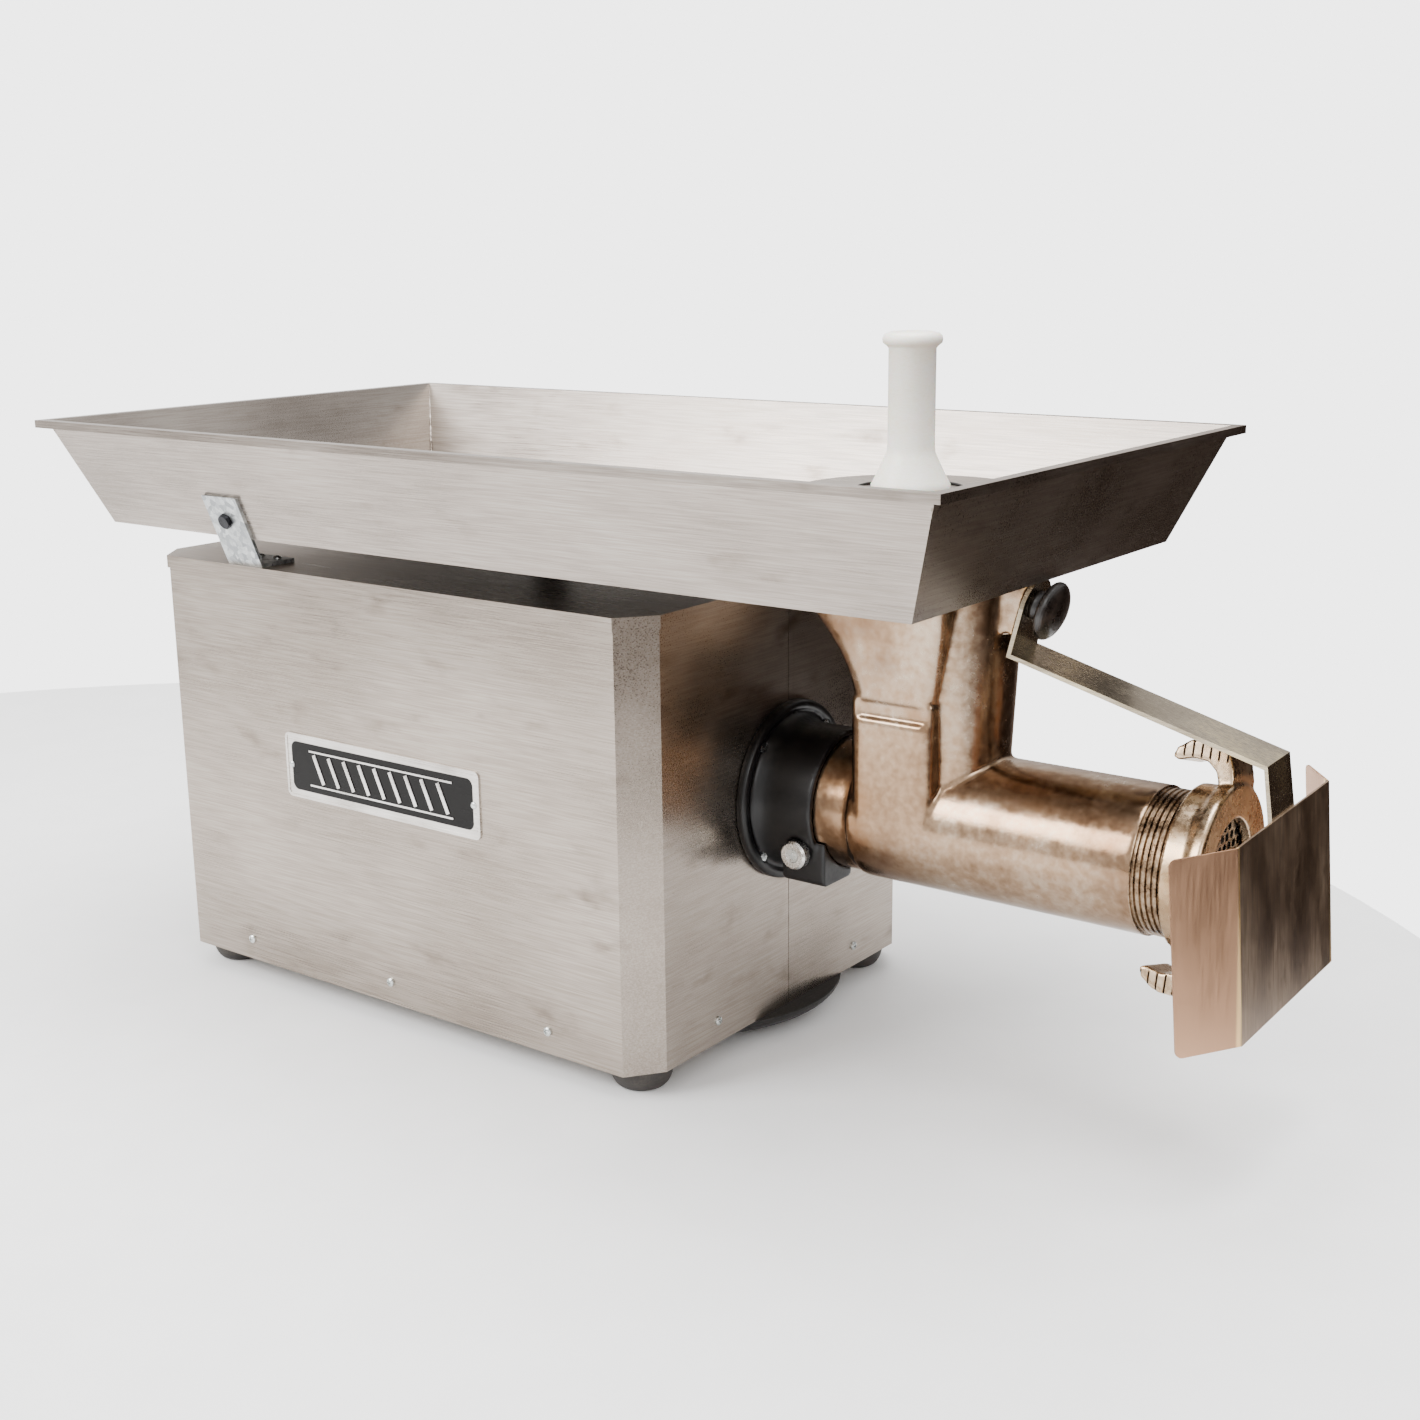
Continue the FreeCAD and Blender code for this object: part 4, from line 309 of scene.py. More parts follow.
@dataclass(frozen=True)
class CastBronze(Finish):
    """Sand-cast bronze, polished and hand-tinned: copper shows where the tin is worn through."""

    # Painted shade: the dark colour that the hollows take.
    hollow_shade: str = "#2c170b"
    copper: str = "#8c6542"
    smoke: str = "#5c3b24"

    def detail(self, surface: Surface) -> None:
        """Lets copper through in patches, paints shade into the hollows and highlights onto the edges, and
        leaves soft dents.
        """
        tree = surface.tree
        socket = surface.shader.inputs["Base Color"]
        patch = surface.cloud((64.0, 46.0, 80.0), 2.5, 4.4)
        shown = surface.blend(patch, socket.links[0].from_socket, linear(self.copper), (0.48, 0.95))
        stain = surface.cloud((52.0, 36.0, 70.0), 2.5, 9.9)
        brown = surface.blend(stain, shown, linear(self.smoke), (0.5, 0.95))
        point = surface.geometry.outputs["Pointiness"]
        # Painted shade: hollows, found by pointiness, take the dark hollow colour.
        painted_hollow_shade = surface.blend(point, linear(self.hollow_shade), brown, (0.40, 0.482))
        # Painted highlight: sharp edges, found by pointiness, turn pale gold.
        painted_edge_highlight = surface.blend(point, painted_hollow_shade, linear("#e6bb7c"), (0.525, 0.60))
        tree.links.new(painted_edge_highlight, socket)
        surface.relief(surface.cloud((24.0, 24.0, 24.0), 1.0, 7.7), 0.45)
        surface.relief(surface.cloud((1.6, 1.6, 1.6), 2.0, 2.9), 0.02)


@dataclass(frozen=True)
class HookBronze(CastBronze):
    """Nickel bronze of the ring nut, with the grip lines filed across its two hooks."""

    axis_z: float = 197.0
    first: float = 422.6
    pitch: float = 6.0
    inner: float = 74.0

    def detail(self, surface: Surface) -> None:
        """Sinks the grip grooves across the hooks, outside the hub, and darkens them with painted shade."""
        super().detail(surface)
        tree = surface.tree
        moved = add(tree, "ShaderNodeVectorMath", {0: surface.place, 1: (self.first, 0.0, self.axis_z)},
                    operation="SUBTRACT")
        flat = add(tree, "ShaderNodeVectorMath", {0: moved.outputs[0], 1: (0.0, 1.0, 1.0)},
                   operation="MULTIPLY")
        radius = add(tree, "ShaderNodeVectorMath", {0: flat.outputs[0]}, operation="LENGTH")
        place = add(tree, "ShaderNodeSeparateXYZ", {0: moved.outputs[0]})
        folded = add(tree, "ShaderNodeMath", {0: place.outputs[0], 1: self.pitch / 2}, operation="PINGPONG")
        outside = add(tree, "ShaderNodeMapRange", {0: radius.outputs["Value"], 1: self.inner,
                                                   2: self.inner + 2.0})
        line = add(tree, "ShaderNodeMapRange", {0: folded.outputs[0], 1: 0.25, 2: 0.75, 3: 1.0, 4: 0.0})
        filed = add(tree, "ShaderNodeMath", {0: line.outputs[0], 1: outside.outputs[0]},
                    operation="MULTIPLY")
        socket = surface.shader.inputs["Base Color"]
        # Painted shade: the grooves are coloured dark as well as sunk as relief.
        painted_groove_shade = surface.blend(filed.outputs[0], socket.links[0].from_socket, linear("#20160f"))
        tree.links.new(painted_groove_shade, socket)
        sunk = add(tree, "ShaderNodeMath", {0: 1.0, 1: filed.outputs[0]}, operation="SUBTRACT")
        surface.relief(sunk.outputs[0], 0.5)


@dataclass(frozen=True)
class Galvanised(Finish):
    """Hot-dip galvanised strip: zinc crystals, each its own grey."""

    crystal: float = 4.5

    def detail(self, surface: Surface) -> None:
        """Lays the zinc crystals."""
        tree = surface.tree
        cell = add(tree, "ShaderNodeTexVoronoi", {"Vector": surface.place, "Scale": 1 / self.crystal})
        grey = add(tree, "ShaderNodeSeparateColor", {0: cell.outputs["Color"]})
        socket = surface.shader.inputs["Base Color"]
        toned = surface.blend(grey.outputs[0], socket.links[0].from_socket, linear("#8f9294"), (0.2, 1.0))
        tree.links.new(toned, socket)
        surface.relief(cell.outputs["Distance"], 0.08)


@dataclass(frozen=True)
class PlateEnamel(Finish):
    """Aluminium plate screened with black enamel inside a bare brushed border."""

    centre: Size = (0.0, 0.0, 0.0)
    half: tuple[float, float] = (90.0, 15.0)
    corner: float = 6.0

    def detail(self, surface: Surface) -> None:
        """Fills the panel inside the border with enamel."""
        tree = surface.tree
        moved = add(tree, "ShaderNodeVectorMath", {0: surface.place, 1: self.centre}, operation="SUBTRACT")
        folded = add(tree, "ShaderNodeVectorMath", {0: moved.outputs[0]}, operation="ABSOLUTE")
        reach = (self.half[0] - self.corner, 1000.0, self.half[1] - self.corner)
        over = add(tree, "ShaderNodeVectorMath", {0: folded.outputs[0], 1: reach}, operation="SUBTRACT")
        held = add(tree, "ShaderNodeVectorMath", {0: over.outputs[0], 1: (0.0, 0.0, 0.0)},
                   operation="MAXIMUM")
        far = add(tree, "ShaderNodeVectorMath", {0: held.outputs[0]}, operation="LENGTH")
        socket = surface.shader.inputs["Base Color"]
        edge = (self.corner - 0.15, self.corner + 0.15)
        tree.links.new(surface.blend(far.outputs["Value"], linear("#0a0807"),
                                     socket.links[0].from_socket, edge), socket)
        bare = add(tree, "ShaderNodeMapRange", {0: far.outputs["Value"], 1: edge[0], 2: edge[1]})
        tree.links.new(bare.outputs[0], surface.shader.inputs["Metallic"])


@dataclass(frozen=True)
class TurnedPart(Finish):
    """A part turned on a lathe: fine rings square to its axis."""

    axis: Size = (1.0, 0.0, 0.0)
    feed: float = 1.2
    cut: float = 0.02

    def detail(self, surface: Surface) -> None:
        """Cuts the rings."""
        tree = surface.tree
        along = add(tree, "ShaderNodeVectorMath", {0: surface.place, 1: self.axis}, operation="DOT_PRODUCT")
        turns = add(tree, "ShaderNodeMath", {0: along.outputs["Value"], 1: 2 * math.pi / self.feed},
                    operation="MULTIPLY")
        ring = add(tree, "ShaderNodeMath", {0: turns.outputs[0]}, operation="SINE")
        surface.relief(ring.outputs[0], self.cut)


@dataclass(frozen=True)
class StackedSheet(Finish):
    """Thin electrical sheets stacked and pressed: a dark line between each two."""

    sheet: float = 2.0

    def detail(self, surface: Surface) -> None:
        """Draws the sheets' edges, coarser than the real half millimetre so that they show."""
        tree = surface.tree
        place = add(tree, "ShaderNodeSeparateXYZ", {0: surface.place})
        turns = add(tree, "ShaderNodeMath", {0: place.outputs[0], 1: 2 * math.pi / self.sheet},
                    operation="MULTIPLY")
        wave = add(tree, "ShaderNodeMath", {0: turns.outputs[0]}, operation="SINE")
        socket = surface.shader.inputs["Base Color"]
        tree.links.new(surface.blend(wave.outputs[0], linear("#3c3a38"), socket.links[0].from_socket,
                                     (-1.0, -0.4)), socket)
        surface.relief(wave.outputs[0], 0.1)


# Soft grey sheen that stretches along the brushing, with cloudy handling marks.
STEEL = BrushedSheet("stainless_304_belt_brushed", ("#8f857b", "#a1978d", "#b2a89e"), 1.0, (0.22, 0.40),
                     broad=(190.0, 160.0, 130.0), fine=(45.0, 1.0, 1.0), depth=0.006)
# The same sheet with paler tones that paint in light, so the tray reads lighter than the casing; a little
# flatter too.
TRAY_STEEL_PAINTED_LIGHTER = BrushedSheet("stainless_304_tray_pressed_painted_lighter", ("#928981", "#a49b93", "#b5ada5"), 1.0, (0.24, 0.42),
                          broad=(210.0, 170.0, 90.0), fine=(45.0, 1.0, 1.0), depth=0.006)
# A warm, brighter bar with its grain along its length.
STRAP_STEEL = BrushedSheet("stainless_304_flat_bar", ("#918570", "#aa9f8c", "#cfc09e"), 1.0, (0.2, 0.32),
                           broad=(60.0, 50.0, 50.0), fine=(50.0, 1.0, 1.0), depth=0.006, stain="#7d6a4c")
# Dull and smoky up and down, with painted light making the wings lighter and pinkish, and a thin painted
# highlight in gold along each bend.
GUARD_STEEL = GuardSheet("stainless_304_hand_rubbed", ("#7f6a58", "#99826d", "#b09a84"), 1.0, (0.34, 0.48),
                         broad=(40.0, 26.0, 70.0), fine=(1.4, 1.4, 34.0), depth=0.010)
# Warm metal with long soft highlights, grey tin over copper, painted shade in the hollows and painted
# highlights on the edges.
HEAD_BRONZE = CastBronze("tin_bronze_cast_hand_tinned", ("#80664f", "#9c836b", "#b5a28e"), 1.0, (0.15, 0.28),
                         broad=(76.0, 60.0, 90.0), fine=(6.0, 6.0, 6.0), depth=0.03)
# Paler and cooler than the head, with painted shade in the hollows, painted highlights on the edges, and
# grip grooves across the hooks darkened with painted shade.
NUT_BRONZE = HookBronze("nickel_bronze_cast_satin", ("#a1876c", "#bba386", "#d2bda4"), 1.0, (0.2, 0.34),
                        broad=(34.0, 34.0, 34.0), fine=(4.0, 4.0, 4.0), depth=0.03,
                        hollow_shade="#3d2a1b", copper="#b88f5c", smoke="#786048")
# Dark in the grooves and bright on the crests, so each turn of the thread shows.
THREAD_BRONZE = TurnedPart("tin_bronze_thread_cut", ("#3a2c20", "#7c6650", "#a8937b"), 1.0, (0.22, 0.4),
                           broad=(20.0, 12.0, 12.0), fine=(2.0, 2.0, 2.0), feed=0.9, cut=0.02)
# Nearly black; only a broad dim highlight shows its round shape.
BLACK_IRON = Finish("grey_iron_cast_black_enamelled", ("#030203", "#060506", "#0d0a0b"), 0.0, (0.30, 0.48),
                    broad=(40.0, 40.0, 40.0), fine=(3.0, 3.0, 3.0), depth=0.06,
                    sockets=((Coat.WEIGHT.value, 0.12), (Coat.ROUGHNESS.value, 0.2),
                             (SHINE, 0.3)))
# Flat blue-grey paint over a slightly rough casting.
GREY_IRON = Finish("grey_iron_cast_machine_enamelled", ("#5d6468", "#6f777b", "#858d90"), 0.0, (0.38, 0.6),
                   fine=(2.5, 2.5, 2.5), depth=0.12)
# Mirror-like bands round each shaft and bearing.
BRIGHT_STEEL = TurnedPart("carbon_steel_turned_bright", ("#a9a6a2", "#c9c6c2", "#e0dedb"), 1.0, (0.18, 0.32),
                          broad=(20.0, 20.0, 20.0), fine=(1.4, 1.4, 1.4), feed=1.1, cut=0.012)
# Small cool highlights, so that screws stand out from the warmer sheet.
ZINC_STEEL = Finish("carbon_steel_bright_zinc_plated", ("#a6a9a8", "#c8ccca", "#e4e6e4"), 1.0, (0.2, 0.36),
                    broad=(6.0, 6.0, 6.0), fine=(1.2, 1.2, 1.2), depth=0.01)
# Mottled pale crystals with no one highlight.
GALVANISED = Galvanised("mild_steel_hot_dip_galvanised", ("#9a9c9c", "#b9bcbc", "#d2d4d4"), 0.9,
                        (0.38, 0.58), broad=(14.0, 14.0, 14.0), fine=(1.5, 1.5, 1.5), depth=0.03)
# Oily black with a weak metal glint.
BLACK_STEEL = Finish("carbon_steel_black_oxidised", ("#141416", "#232326", "#39393d"), 0.85, (0.34, 0.5),
                     broad=(10.0, 10.0, 10.0), fine=(1.2, 1.2, 1.2), depth=0.015)
# Grey with fine dark lines between its sheets.
CORE_STEEL = StackedSheet("silicon_steel_laminated", ("#6b6865", "#85827e", "#9d9a96"), 0.9, (0.38, 0.55),
                          fine=(1.5, 1.5, 1.5))
# Deep red-brown with a wet shine along each turn.
COPPER = StackedSheet("copper_wire_enamelled_wound", ("#6e2f14", "#9a4a20", "#c06a35"), 0.8, (0.25, 0.42),
                      broad=(20.0, 20.0, 20.0), fine=(2.0, 2.0, 2.0), sheet=1.6)
# Even pale grey with no sharp highlight.
CAST_ALUMINIUM = Finish("aluminium_die_cast_blasted", ("#9b9d9f", "#b4b6b8", "#cccecf"), 0.95, (0.42, 0.58),
                        fine=(1.4, 1.4, 1.4), depth=0.05)
# Bright, with fine rings that turn the highlight into a fan.
TURNED_ALUMINIUM = TurnedPart("aluminium_turned_satin", ("#b3b1ac", "#d2d0cb", "#e8e6e1"), 1.0, (0.2, 0.34),
                              broad=(9.0, 9.0, 9.0), fine=(1.2, 1.2, 1.2), axis=(0.0, 1.0, 0.0), feed=0.8)
# Matt dark grey that takes hardly any light.
RUBBER = Finish("rubber_moulded_grey", ("#221f1d", "#302c29", "#423d39"), 0.0, (0.55, 0.78),
                broad=(18.0, 18.0, 9.0), fine=(1.4, 1.4, 1.4), depth=0.06)
# Blacker and a little smoother, so that an edge catches the light.
BLACK_RUBBER = Finish("rubber_moulded_black", ("#0b0a09", "#131110", "#211d1b"), 0.0, (0.42, 0.66),
                      broad=(30.0, 30.0, 10.0), fine=(1.6, 1.6, 1.6), depth=0.06)
# Brown-black under a soft polish, with small round highlights.
BAKELITE = Finish("phenolic_moulded_polished", ("#0d0907", "#17110e", "#2a211c"), 0.0, (0.24, 0.46),
                  broad=(9.0, 9.0, 9.0), fine=(1.8, 1.8, 1.8), depth=0.05,
                  sockets=((Coat.WEIGHT.value, 0.3), (Coat.ROUGHNESS.value, 0.2)))
# Warm white that glows a little where it is thin, with faint turning rings.
NYLON = TurnedPart("nylon_turned_ivory", ("#f1ecdc", "#fbf7ea", "#fffdf5"), 0.0, (0.3, 0.46),
                   broad=(60.0, 60.0, 30.0), fine=(3.0, 3.0, 1.0), axis=(0.0, 0.0, 1.0), feed=1.4, cut=0.01,
                   sockets=(("Subsurface Weight", 0.35), ("Subsurface Scale", 0.006)))
# Even satin black.
BLACK_PLASTIC = Finish("abs_moulded_black", ("#161617", "#202021", "#2e2e30"), 0.0, (0.36, 0.52),
                       fine=(0.9, 0.9, 0.9), depth=0.04)
# Glossy green with a small clear highlight.
GREEN_PLASTIC = Finish("abs_moulded_green", ("#0c6b35", "#128344", "#29a05c"), 0.0, (0.22, 0.38),
                       broad=(10.0, 10.0, 10.0), fine=(1.0, 1.0, 1.0), depth=0.01)
# Glossy red with a small clear highlight.
RED_PLASTIC = Finish("abs_moulded_red", ("#9a1218", "#bb1a21", "#d33a3c"), 0.0, (0.22, 0.38),
                     broad=(10.0, 10.0, 10.0), fine=(1.0, 1.0, 1.0), depth=0.01)
# Bright and flat, with grinding lines one way.
TOOL_STEEL = Finish("tool_steel_surface_ground", ("#8f8b86", "#b3afaa", "#d2cec8"), 1.0, (0.2, 0.34),
                    broad=(16.0, 16.0, 16.0), fine=(1.0, 20.0, 1.0), depth=0.01)
# Bright satin bars against the black enamel.
EMBLEM_STEEL = Finish("aluminium_bright_inlay", ("#b9b6b2", "#d8d5d1", "#f0eeeb"), 1.0, (0.24, 0.36),
                      fine=(30.0, 1.0, 1.0), depth=0.006)
# Rippled and slightly browned next to the clean sheet.
WELD_STEEL = Finish("stainless_weld_bead_brushed", ("#6a5f55", "#9c938a", "#c9c3bc"), 1.0, (0.3, 0.5),
                    broad=(8.0, 8.0, 8.0), fine=(2.0, 2.0, 2.0), depth=0.08)


def deselect() -> None:
    """Leaves object mode clean: nothing is selected."""
    if bpy.context.object and bpy.context.object.mode != "OBJECT":
        bpy.ops.object.mode_set(mode="OBJECT")
    bpy.ops.object.select_all(action="DESELECT")


def take(piece: bpy.types.Object) -> None:
    """Makes one piece the only one selected and the active one."""
    deselect()
    piece.select_set(True)
    bpy.context.view_layer.objects.active = piece


def settle(piece: bpy.types.Object, name: str, body: Body, finish: Finish, slot: str,
           *stands_for: str, angle: float = 35.0) -> bpy.types.Object:
    """Finishes a piece: its name, place, shading, material and body.

    Args:
        piece: the modelled object.
        name: its name.
        body: what it moves with.
        finish: what it is dressed in.
        slot: the record's material slot that it belongs to; not used.
        stands_for: the CAD nodes that it replaces.
        angle: faces that meet at less than this, in degrees, shade as one.

    Returns:
        The piece.
    """
    take(piece)
    bpy.ops.object.transform_apply(location=True, rotation=True, scale=True)
    bpy.ops.object.shade_smooth_by_angle(angle=math.radians(angle))
    piece.name = name
    piece.data.name = name
    dress(piece, finish)
    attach(piece, body.value)
    if stands_for:
        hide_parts(*stands_for)
    LOG.info("%s: %d faces on %s", name, len(piece.data.polygons), body.value)
    return piece


MADE: dict[str, bpy.types.Material] = {}


def dress(piece: bpy.types.Object, finish: Finish) -> None:
    """Puts one finish on all of a piece, making its material the first time."""
    if finish.name not in MADE:
        MADE[finish.name] = finish.make()
    if not piece.material_slots:
        piece.data.materials.append(MADE[finish.name])
    for held in piece.material_slots:
        held.material = MADE[finish.name]


def refine(piece: bpy.types.Object, kind: str, **values: Any) -> None:
    """Adds a modifier with its values to a piece and applies it.

    Args:
        piece: what it changes.
        kind: the modifier's type.
        values: its settings.
    """
    take(piece)
    made = piece.modifiers.new(kind.title(), kind)
    for key, value in values.items():
        setattr(made, key, value)
    bpy.ops.object.modifier_apply(modifier=made.name)


def copy_of(node: str) -> bpy.types.Object:
    """Copies a CAD node and joins its loose triangles into one closed skin.

    Args:
        node: the CAD node's name.

    Returns:
        The copy, with its own mesh.
    """
    piece = bpy.data.objects.new(node + "_copy", NODES[node].data.copy())
    bpy.context.scene.collection.objects.link(piece)
    take(piece)
    bpy.ops.object.mode_set(mode="EDIT")
    bpy.ops.mesh.select_all(action="SELECT")
    bpy.ops.mesh.customdata_custom_splitnormals_clear()
    bpy.ops.mesh.remove_doubles(threshold=0.00001)
    bpy.ops.mesh.normals_make_consistent(inside=False)
    bpy.ops.object.mode_set(mode="OBJECT")
    return piece


def rounded(node: str, voxel: float, rounds: int) -> bpy.types.Object:
    """Copies a CAD node and softens its edges as a casting's come out of sand.

    Args:
        node: the CAD node's name.
        voxel: size of the new faces in mm.
        rounds: how many times the corners are smoothed.

    Returns:
        The softened copy.
    """
    piece = copy_of(node)
    refine(piece, "REMESH", mode="VOXEL", voxel_size=voxel * MM, adaptivity=0.0)
    refine(piece, "SMOOTH", factor=0.5, iterations=rounds)
    return piece


def joined(pieces: list[bpy.types.Object]) -> bpy.types.Object:
    """Joins several pieces into the first and returns it."""
    deselect()
    for piece in pieces:
        piece.select_set(True)
    bpy.context.view_layer.objects.active = pieces[0]
    bpy.ops.object.join()
    return pieces[0]


def slice_off(piece: bpy.types.Object, x: float, keep_front: bool) -> None:
    """Cuts a piece square to x and throws one side away.

    Args:
        piece: what is cut.
        x: where, in metres.
        keep_front: whether the side towards +x stays.
    """
    take(piece)
    bpy.ops.object.mode_set(mode="EDIT")
    bpy.ops.mesh.select_all(action="SELECT")
    bpy.ops.mesh.bisect(plane_co=(x, 0, 0), plane_no=(1, 0, 0), use_fill=False,
                        clear_inner=keep_front, clear_outer=not keep_front)
    bpy.ops.object.mode_set(mode="OBJECT")


def turned(centre: Vector, profile: list[tuple[float, float]], sides: int = 96) -> bpy.types.Object:
    """Models a turned part upright: a disc drawn up ring by ring.

    Args:
        centre: the point on its axis from which the profile's heights count, in metres.
        profile: the height and radius of each ring in mm, from the bottom to the top.
        sides: how many sides its rings have.

    Returns:
        The closed part.
    """
    deselect()
    height, radius = profile[0]
    at = centre + Vector((0, 0, height * MM))
    bpy.ops.mesh.primitive_circle_add(vertices=sides, radius=radius * MM, fill_type="NGON", location=at)
    piece = bpy.context.object
    bpy.ops.object.mode_set(mode="EDIT")
    bpy.ops.mesh.select_all(action="SELECT")
    for next_height, next_radius in profile[1:]:
        rise = Vector((0, 0, (next_height - height) * MM))
        bpy.ops.mesh.extrude_region_move(TRANSFORM_OT_translate={"value": rise})
        at = at + rise
        size = next_radius / radius
        bpy.ops.transform.resize(value=(size, size, 1), center_override=at)
        height, radius = next_height, next_radius
    bpy.ops.mesh.select_all(action="SELECT")
    bpy.ops.mesh.normals_make_consistent(inside=False)
    bpy.ops.object.mode_set(mode="OBJECT")
    return piece


def bent(start: tuple[float, float], end: tuple[float, float], bulge: float,
         steps: int) -> list[tuple[float, float]]:
    """Lists the points of a curved stretch of a profile.

    Args:
        start: its first height and radius.
        end: its last height and radius.
        bulge: above 1 it hugs the start's radius, below 1 the end's.
        steps: how many points it has after the first.

    Returns:
        The heights and radii, in order.
    """
    return [(start[0] + (end[0] - start[0]) * i / steps,
             start[1] + (end[1] - start[1]) * (i / steps) ** bulge) for i in range(1, steps + 1)]


@dataclass
class Casing:
    """The sheet steel box, its pan, screws and feet."""

    sheets: tuple[str, ...] = ("casing_wrap", "casing_lid", "base_pan")
    feet: tuple[str, ...] = ("foot_front_near", "foot_front_far", "foot_rear_near", "foot_rear_far")

    def build(self) -> None:
        """Dresses the sheets, screws and feet."""
        for node in self.sheets:
            dress(NODES[node], STEEL)
        for node in self.feet:
            dress(NODES[node], RUBBER)
        dress(NODES["front_rest"], BLACK_RUBBER)
        dress(NODES["casing_screws"], ZINC_STEEL)
        dress(NODES["base_bolts"], ZINC_STEEL)
        LOG.info("casing dressed")


@dataclass
class Nameplate:
    """The black plate on the near side, with a row of slanted bright bars like a worm's flights."""

    border: float = 6.5
    bars: int = 9
    bar_wide: float = 3.6
    bar_tall: float = 25.0
    bar_pitch: float = 17.0
    lean: float = 24.0
    proud: float = 0.25
    rail_tall: float = 1.6

    def bar(self, middle: Vector, wide: float, tall: float, turn: float) -> bpy.types.Object:
        """Models one bright bar lying on the plate, its edges eased.

        Args:
            middle: its centre, in metres.
            wide: its width in mm.
            tall: its height in mm.
            turn: how far it leans, in degrees.

        Returns:
            The bar.
        """
        deselect()
        bpy.ops.mesh.primitive_cube_add(size=MM, location=middle)
        made = bpy.context.object
        bpy.ops.object.mode_set(mode="EDIT")
        bpy.ops.mesh.select_all(action="SELECT")
        bpy.ops.transform.resize(value=(wide, 2 * self.proud, tall), center_override=middle)
        bpy.ops.transform.rotate(value=math.radians(turn), orient_axis="Y", center_override=middle)
        bpy.ops.object.mode_set(mode="OBJECT")
        refine(made, "BEVEL", width=0.18 * MM, segments=2)
        return made

    def build(self) -> None:
        """Dresses the plate and lays the bars on it."""
        low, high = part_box("nameplate")
        middle = (low + high) / 2
        enamel = PlateEnamel(
            "aluminium_plate_screened_black", ("#a9a39d", "#cdc8c2", "#e0dcd7"), 1.0, (0.24, 0.36),
            fine=(40.0, 1.0, 1.0), depth=0.006, sockets=((SHINE, 0.15),), centre=tuple(middle / MM),
            half=((high.x - low.x) / MM / 2 - self.border, (high.z - low.z) / MM / 2 - self.border))
        dress(NODES["nameplate"], enamel)
        dress(NODES["nameplate_rivets"], ZINC_STEEL)
        face = Vector((middle.x, low.y, middle.z))
        pieces = []
        for index in range(self.bars):
            step = (index - (self.bars - 1) / 2) * self.bar_pitch * MM
            pieces.append(self.bar(face + Vector((step, 0, 0)), self.bar_wide, self.bar_tall, self.lean))
        run = (self.bars + 0.2) * self.bar_pitch
        for side in (-1, 1):
            at = face + Vector((0, 0, side * self.bar_tall * 0.56 * MM))
            pieces.append(self.bar(at, run, self.rail_tall, 0.0))
        settle(joined(pieces), "nameplate_bars", Body.MACHINE, EMBLEM_STEEL, "plate_enamel")


